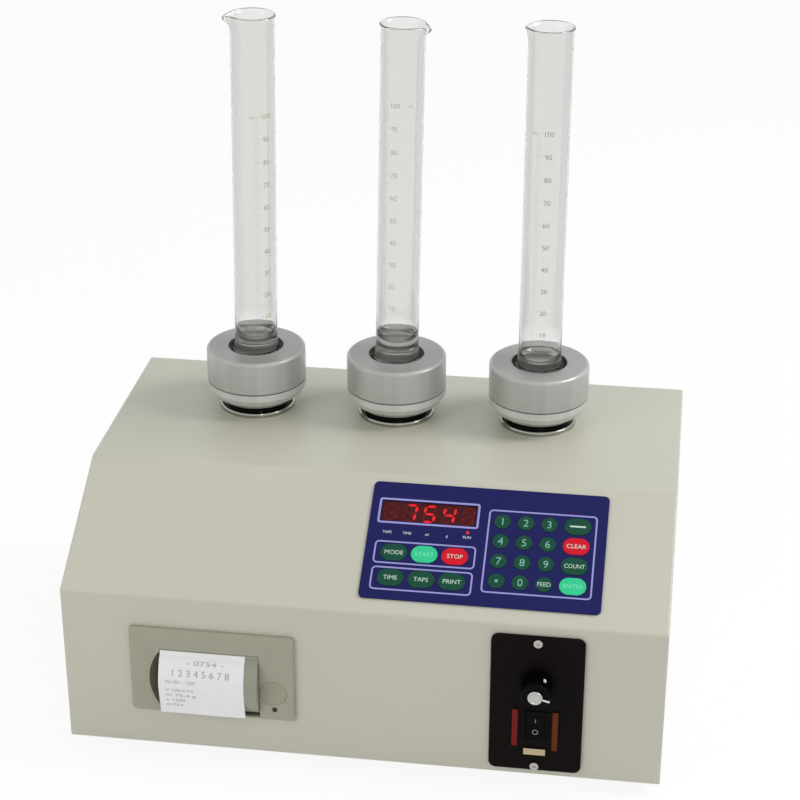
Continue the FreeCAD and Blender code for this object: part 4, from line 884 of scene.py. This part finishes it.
for name in KEYS:
    word = name.removeprefix("key_")
    figure = LEGENDS.get(word, word)
    if name in BRIGHT_KEYS:
        printed = bright_key_ink
    elif len(figure) == 1 and figure != "-":
        printed = soft_green_ink
    else:
        printed = pale_green_ink
    piece = legend(figure, FEED_ROOM if word == "paper" else WORD_ROOM)
    top = middle(name) + KEY_NORMAL * LEGEND_LIFT * MM
    settle(piece, Matrix.Translation(top) @ Matrix.Rotation(PANEL_TILT, 4, "X"))
    belong(piece, "legend_" + word, printed, name)
print("legends on", len(KEYS), "keys")

# %% [markdown]
# ## Speed controller
# A bought-in module: a black plate with printed stripes, a small bare label under the rocker, a
# knob with a polished cap pressed into its face, and I and O on the rocker.

# %% Controller details
FRONT = Matrix.Rotation(math.radians(90), 4, "X")
plate_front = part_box("controller_plate")[0].y
knob_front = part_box("speed_knob")[0].y
knob_axis = middle("speed_knob")
KNOB_FACE = Matrix.Translation((knob_axis.x, knob_front, knob_axis.z)) @ FRONT
gold_label = metal("bare gold label", colour(188, 172, 138), 0.36)
stripe_red = ink("stripe red", colour(122, 38, 34), 0.4, 0.12)
stripe_brown = ink("stripe brown", colour(106, 52, 24), 0.4, 0.12)
dim_ink = ink("dim grey ink", colour(146, 152, 154))
for finish in (stripe_red, stripe_brown, dim_ink):
    finish.give("Specular IOR Level", BLACK_GLOSS)
cap_silver = metal("polished cap", colour(190, 190, 186), 0.2)


def upright(piece, x, depth, z):
    """Stand a flat piece up on a front face: x and z in millimetres, depth as the face has it."""
    return settle(piece, Matrix.Translation((x * MM, depth, z * MM)) @ FRONT)


#      the finish, then width, height and thickness, then x and z of the middle, in millimetres
PLATE_MARKS = {"plate_stripe_red": (stripe_red, 3.7, 28.2, 0.04, 103.4, 48.2),
               "plate_stripe_orange": (stripe_brown, 3.7, 29.8, 0.04, 129.9, 47),
               "plate_label": (gold_label, 14.4, 4.8, 0.2, 116.8, 30.1)}
for name, (finish, wide, tall, thick, x, z) in PLATE_MARKS.items():
    piece = upright(bar(wide, tall, (0, 0), thick=thick), x, plate_front, z)
    belong(piece, name, finish, "housing")
print(len(PLATE_MARKS), "marks on the plate")

# %% Knob cap and rocker figures
CAP = [(4.9, 0), (4.95, 0.5), (4.7, 0.9), (4.1, 1.15), (3.5, 0.9), (3.2, 0.5), (0.6, 0.35)]
cap = settle(smooth(turned(CAP, 48)), KNOB_FACE)
belong(cap, "knob_cap", cap_silver, "knob")
rocker_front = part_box("power_rocker")[0].y
ROCKER_HOLLOW = 0.8
for name, figure, z, tall in (("rocker_on", "I", 54.9, 3.0), ("rocker_off", "O", 46.3, 3.8)):
    piece = upright(lettering(figure, tall, thick=0.1), middle("power_rocker").x * 1000,
                    rocker_front + ROCKER_HOLLOW * MM, z)
    belong(piece, name, dim_ink, "rocker")
print("cap, I and O")

# %% Painted glint and line of the knob
LINE_TURN = math.radians(-14)
GLINT_TURN = math.radians(60)
GLINT_AHEAD = 8
GLINT_REACH = 11.2
aside = math.cos(GLINT_TURN)
aloft = math.sin(GLINT_TURN)
flank = Matrix(((-aloft, 0, aside, knob_axis.x), (0, -1, 0, plate_front - GLINT_AHEAD * MM),
                (aside, 0, aloft, knob_axis.z), (0, 0, 0, 1)))
# painted highlight: a white mark on the knob's flank where a glint shows
glint_mark = bar(1.9, 3, (0, 0), thick=0.3)
settle(glint_mark, flank @ Matrix.Translation((0, 0, GLINT_REACH * MM)))
belong(glint_mark, "knob_glint_mark", white_ink, "knob")
face_line = bar(4.6, 1.3, (7.4, 0), thick=0.2)
settle(face_line, KNOB_FACE @ Matrix.Rotation(LINE_TURN, 4, "Z"))
belong(face_line, "knob_line", white_ink, "knob")
print("controller dressed; knob face at", round(knob_front * 1000, 1))

# %% [markdown]
# ## Printer
# A strip of thermal paper hangs out over the door.  Its printing is set flat, line by line, and
# then laid on the strip by the same function of height that shapes the strip itself.  Beside the
# door the bezel is hollowed, so that a finger can get behind the door's end.

# %% Finger scoop
SCOOP_REACH = 7.7
SCOOP_HALF = 21.6
SCOOP_CHORD = 22
SCOOP_MIDDLE = 63.25
SCOOP_BEHIND = 1.55
SCOOP_SUNK = 1
SCOOP_DEEP = 11
SCOOP_CURVE = 0.8
SCOOP_ROUND = (SCOOP_REACH ** 2 + SCOOP_CHORD ** 2) / (2 * SCOOP_REACH)
door_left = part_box("printer_door")[0].x
bezel_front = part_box("printer_bezel")[0].y
bpy.ops.mesh.primitive_grid_add(x_subdivisions=10, y_subdivisions=28, size=1)
scoop = bpy.context.object
for point in scoop.data.vertices:
    inward = point.co.x + 0.5
    height = point.co.y * 2 * SCOOP_HALF
    reach = math.sqrt(SCOOP_ROUND ** 2 - height ** 2) - SCOOP_ROUND + SCOOP_REACH
    depth = SCOOP_SUNK + SCOOP_DEEP * reach / SCOOP_REACH * inward ** SCOOP_CURVE
    point.co = (door_left + (SCOOP_BEHIND - reach * (1 - inward)) * MM,
                bezel_front + depth * MM, (SCOOP_MIDDLE + height) * MM)
smooth(apply_modifier(scoop, "SOLIDIFY", thickness=0.6 * MM, offset=-1))
belong(scoop, "finger_scoop", shaded_scoop_plastic, "housing")
print("scoop", [round(side * 1000, 1) for side in scoop.dimensions])

# %% The hanging strip
BOW = 28.62 * MM
BOW_Y = -102.51 * MM
BOW_Z = 63.175 * MM
FIRST_TURN = math.radians(-10)
LAST_TURN = math.radians(25)
STRIP_LONG = 48
STRIP_RAISED = 0.9
TEAR = 0.35
RIPPLE = 0.12
RIPPLE_LONG = 9
FREE_END = 24
paper_low, paper_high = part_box("paper_strip")
paper_wide = paper_high.x - paper_low.x
paper_middle = (paper_low.x + paper_high.x) / 2
hinge = next(joint["pos_m"] for joint in frame["record"]["behaviour"]["joints"]
             if joint["name"] == "door_swing")
#       run, then the place from the hinge: forward and up, where the strip bends in over the barrel
HEAD = [(18.6, -4.87, -4.04), (21.62, -2.55, -2.1), (22.52, -2.15, -1.3), (23.43, -2.04, -0.4),
        (24.13, -2.02, 0.3), (25.16, -1.6, 1.24)]


def on_paper(across, run, lift=0.0):
    """A place on the strip: run is the way up from its most forward line, straight beyond the bow
    and then close round the door's hinge, so that the open door still clears the bezel."""
    for (start, y, z), (end, far_y, far_z) in zip(HEAD, HEAD[1:]):
        part = (run / MM - start) / (end - start)
        if 0 < part <= 1:
            return Vector((across, hinge[1] + (y + (far_y - y) * part) * MM - lift,
                           hinge[2] + (z + (far_z - z) * part) * MM))
    turn = min(max(run / BOW, FIRST_TURN), LAST_TURN)
    rest = run - turn * BOW
    return Vector((across, BOW_Y - (BOW + lift) * math.cos(turn) + rest * math.sin(turn),
                   BOW_Z + (BOW + lift) * math.sin(turn) + rest * math.cos(turn)))


def paper_wave(across, run):
    """Thin paper ripples a little, more towards its free end."""
    return RIPPLE * MM * math.sin(across / (RIPPLE_LONG * MM)) * max(0, -run / (FREE_END * MM))


bpy.ops.mesh.primitive_grid_add(x_subdivisions=46, y_subdivisions=60, size=1)
strip = bpy.context.object
strip.scale = (paper_wide, STRIP_LONG * MM, 1)
strip.location.y = STRIP_RAISED * MM
settle(strip)
torn_edge = min(point.co.y for point in strip.data.vertices)
for place, point in enumerate(strip.data.vertices):
    if abs(point.co.y - torn_edge) < HAIR:
        point.co.y += TEAR * MM * (place % 2)
    point.co = on_paper(paper_middle + point.co.x, point.co.y, paper_wave(point.co.x, point.co.y))
smooth(apply_modifier(strip, "SOLIDIFY", thickness=0.1 * MM, offset=1))
belong(strip, "printed_strip", paper_white, "door")
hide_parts("paper_strip")
print("paper strip", [round(side * 1000, 1) for side in strip.dimensions])

# %% Print on the strip
thermal_ink = ink("thermal grey", colour(180, 180, 192), 0.6, 0.1)
PRINT_LIFT = 0.2
#      words, capital height, left end, height above the forward line, width
PRINT = [("- 0754 -", 3.2, -10, 17.6, 25), ("1 2 3 4 5 6 7 8", 4.6, -20, 10.4, 38.5),
         ("No 001 - 1250", 2.2, -24, 4, 20), ("V 100.0 ml", 2.2, -24, -2.2, 18.5),
         ("m 75.4 g", 2.2, -24, -6.6, 20), ("n 1250", 2.2, -24, -11, 12.5),
         ("0.754", 2.2, -24, -15.4, 11)]
rows = []
for words, tall, left, upward, wide in PRINT:
    row = lettering(words, tall)
    settle(row, Matrix.Diagonal((wide * MM / row.dimensions.x, 1, 1, 1)))
    rows.append(shift(row, left + wide / 2, upward))
printing = joined(rows)
for point in printing.data.vertices:
    lift = paper_wave(point.co.x, point.co.y) + PRINT_LIFT * MM + point.co.z
    point.co = on_paper(paper_middle + point.co.x, point.co.y, lift)
belong(printing, "paper_print", thermal_ink, "door")
print("paper printed with", len(PRINT), "lines")

# %% Lamp of the printer
LAMP_X = -56.6
LAMP_Z = 46.2
dot_black = moulded("sensor dot", colour(20, 20, 20), 0.3)
dot = upright(disc(1.8, (0, 0), 0.3, 32), LAMP_X, bezel_front, LAMP_Z)
belong(dot, "printer_lamp", dot_black, "housing")
print("an unlit lamp on the bezel")

# %% [markdown]
# ## Light, floor and background
# Soft studio light: a wide lamp above and to the right, a weaker one from the left, a tiny one that
# gives chrome and glass their sparkle, and an even pale surround.  The background is white through
# the colour that camera, glossy and transmission rays see, so no extra light falls on the tester
# for its sake.  The floor keeps a faint soft shadow.

# %% World
world = bpy.data.worlds.new("studio")
bpy.context.scene.world = world
world.use_nodes = True
WORLD_LEVEL = 0.535
world_nodes = world.node_tree.nodes
world_links = world.node_tree.links
rays = world_nodes.new("ShaderNodeLightPath")
seen = rays.outputs["Is Camera Ray"]
for kind in ("Is Transmission Ray", "Is Glossy Ray"):
    either = world_nodes.new("ShaderNodeMath")
    either.operation = "MAXIMUM"
    world_links.new(seen, either.inputs[0])
    world_links.new(rays.outputs[kind], either.inputs[1])
    seen = either.outputs[0]
level = world_nodes.new("ShaderNodeMapRange")
level.inputs["To Min"].default_value = WORLD_LEVEL
level.inputs["To Max"].default_value = 1.0
world_links.new(seen, level.inputs["Value"])
world_links.new(level.outputs[0], world_nodes["Background"].inputs["Strength"])
world_nodes["Background"].inputs["Color"].default_value = (1, 1, 1, 1)
print("world at", WORLD_LEVEL, "for diffuse light, 1.0 where it is seen")


# %% Lamps and floor
def lamp(name, place, target, size, power):
    bpy.ops.object.light_add(type="AREA", location=place)
    made = bpy.context.object
    made.name = name
    made.data.shape = "RECTANGLE"
    made.data.size = size[0]
    made.data.size_y = size[1]
    made.data.energy = power
    made.rotation_euler = (Vector(target) - Vector(place)).to_track_quat("-Z", "Y").to_euler()
    return made


lamp("key lamp", (1.4, 0.15, 1.45), (0, 0, 0.15), (0.7, 0.7), 17)
fill = lamp("fill lamp", (-1.1, -1.25, 0.95), (0, 0, 0.2), (1.0, 0.9), 7)
fill.data.color = (1, 0.985, 0.84)
fill.visible_glossy = False
lamp("sparkle lamp", (0.55, -1.5, 1.05), (0, 0, 0.2), (0.05, 0.05), 1.2)

FLOOR_GLOW = 0.86
bpy.ops.mesh.primitive_plane_add(size=8)
floor = bpy.context.object
floor.name = "studio_floor"
pale = Finish("pale floor", Base_Color=(0.86, 0.86, 0.86, 1), Roughness=0.9)
ray = pale.node("LightPath", output="Is Camera Ray")
for kind in ("Is Glossy Ray", "Is Transmission Ray"):
    ray = ray.maths("MAXIMUM", ray, pale.node("LightPath", output=kind))
glow = pale.node("Emission", None, {"Color": (1, 1, 1, 1), "Strength": 1.03})
plain = Signal(pale, pale.shader.outputs[0])
shine = pale.node("MixShader", None, {0: ray * FLOOR_GLOW, 1: plain, 2: glow})
pale.tree.links.new(shine.socket, pale.tree.nodes["Material Output"].inputs["Surface"])
floor.data.materials.append(pale.material)
print("three lamps and a floor")

# %% View settings and the finished frame
bpy.context.scene.view_settings.view_transform = "Standard"
bpy.context.view_layer.update()
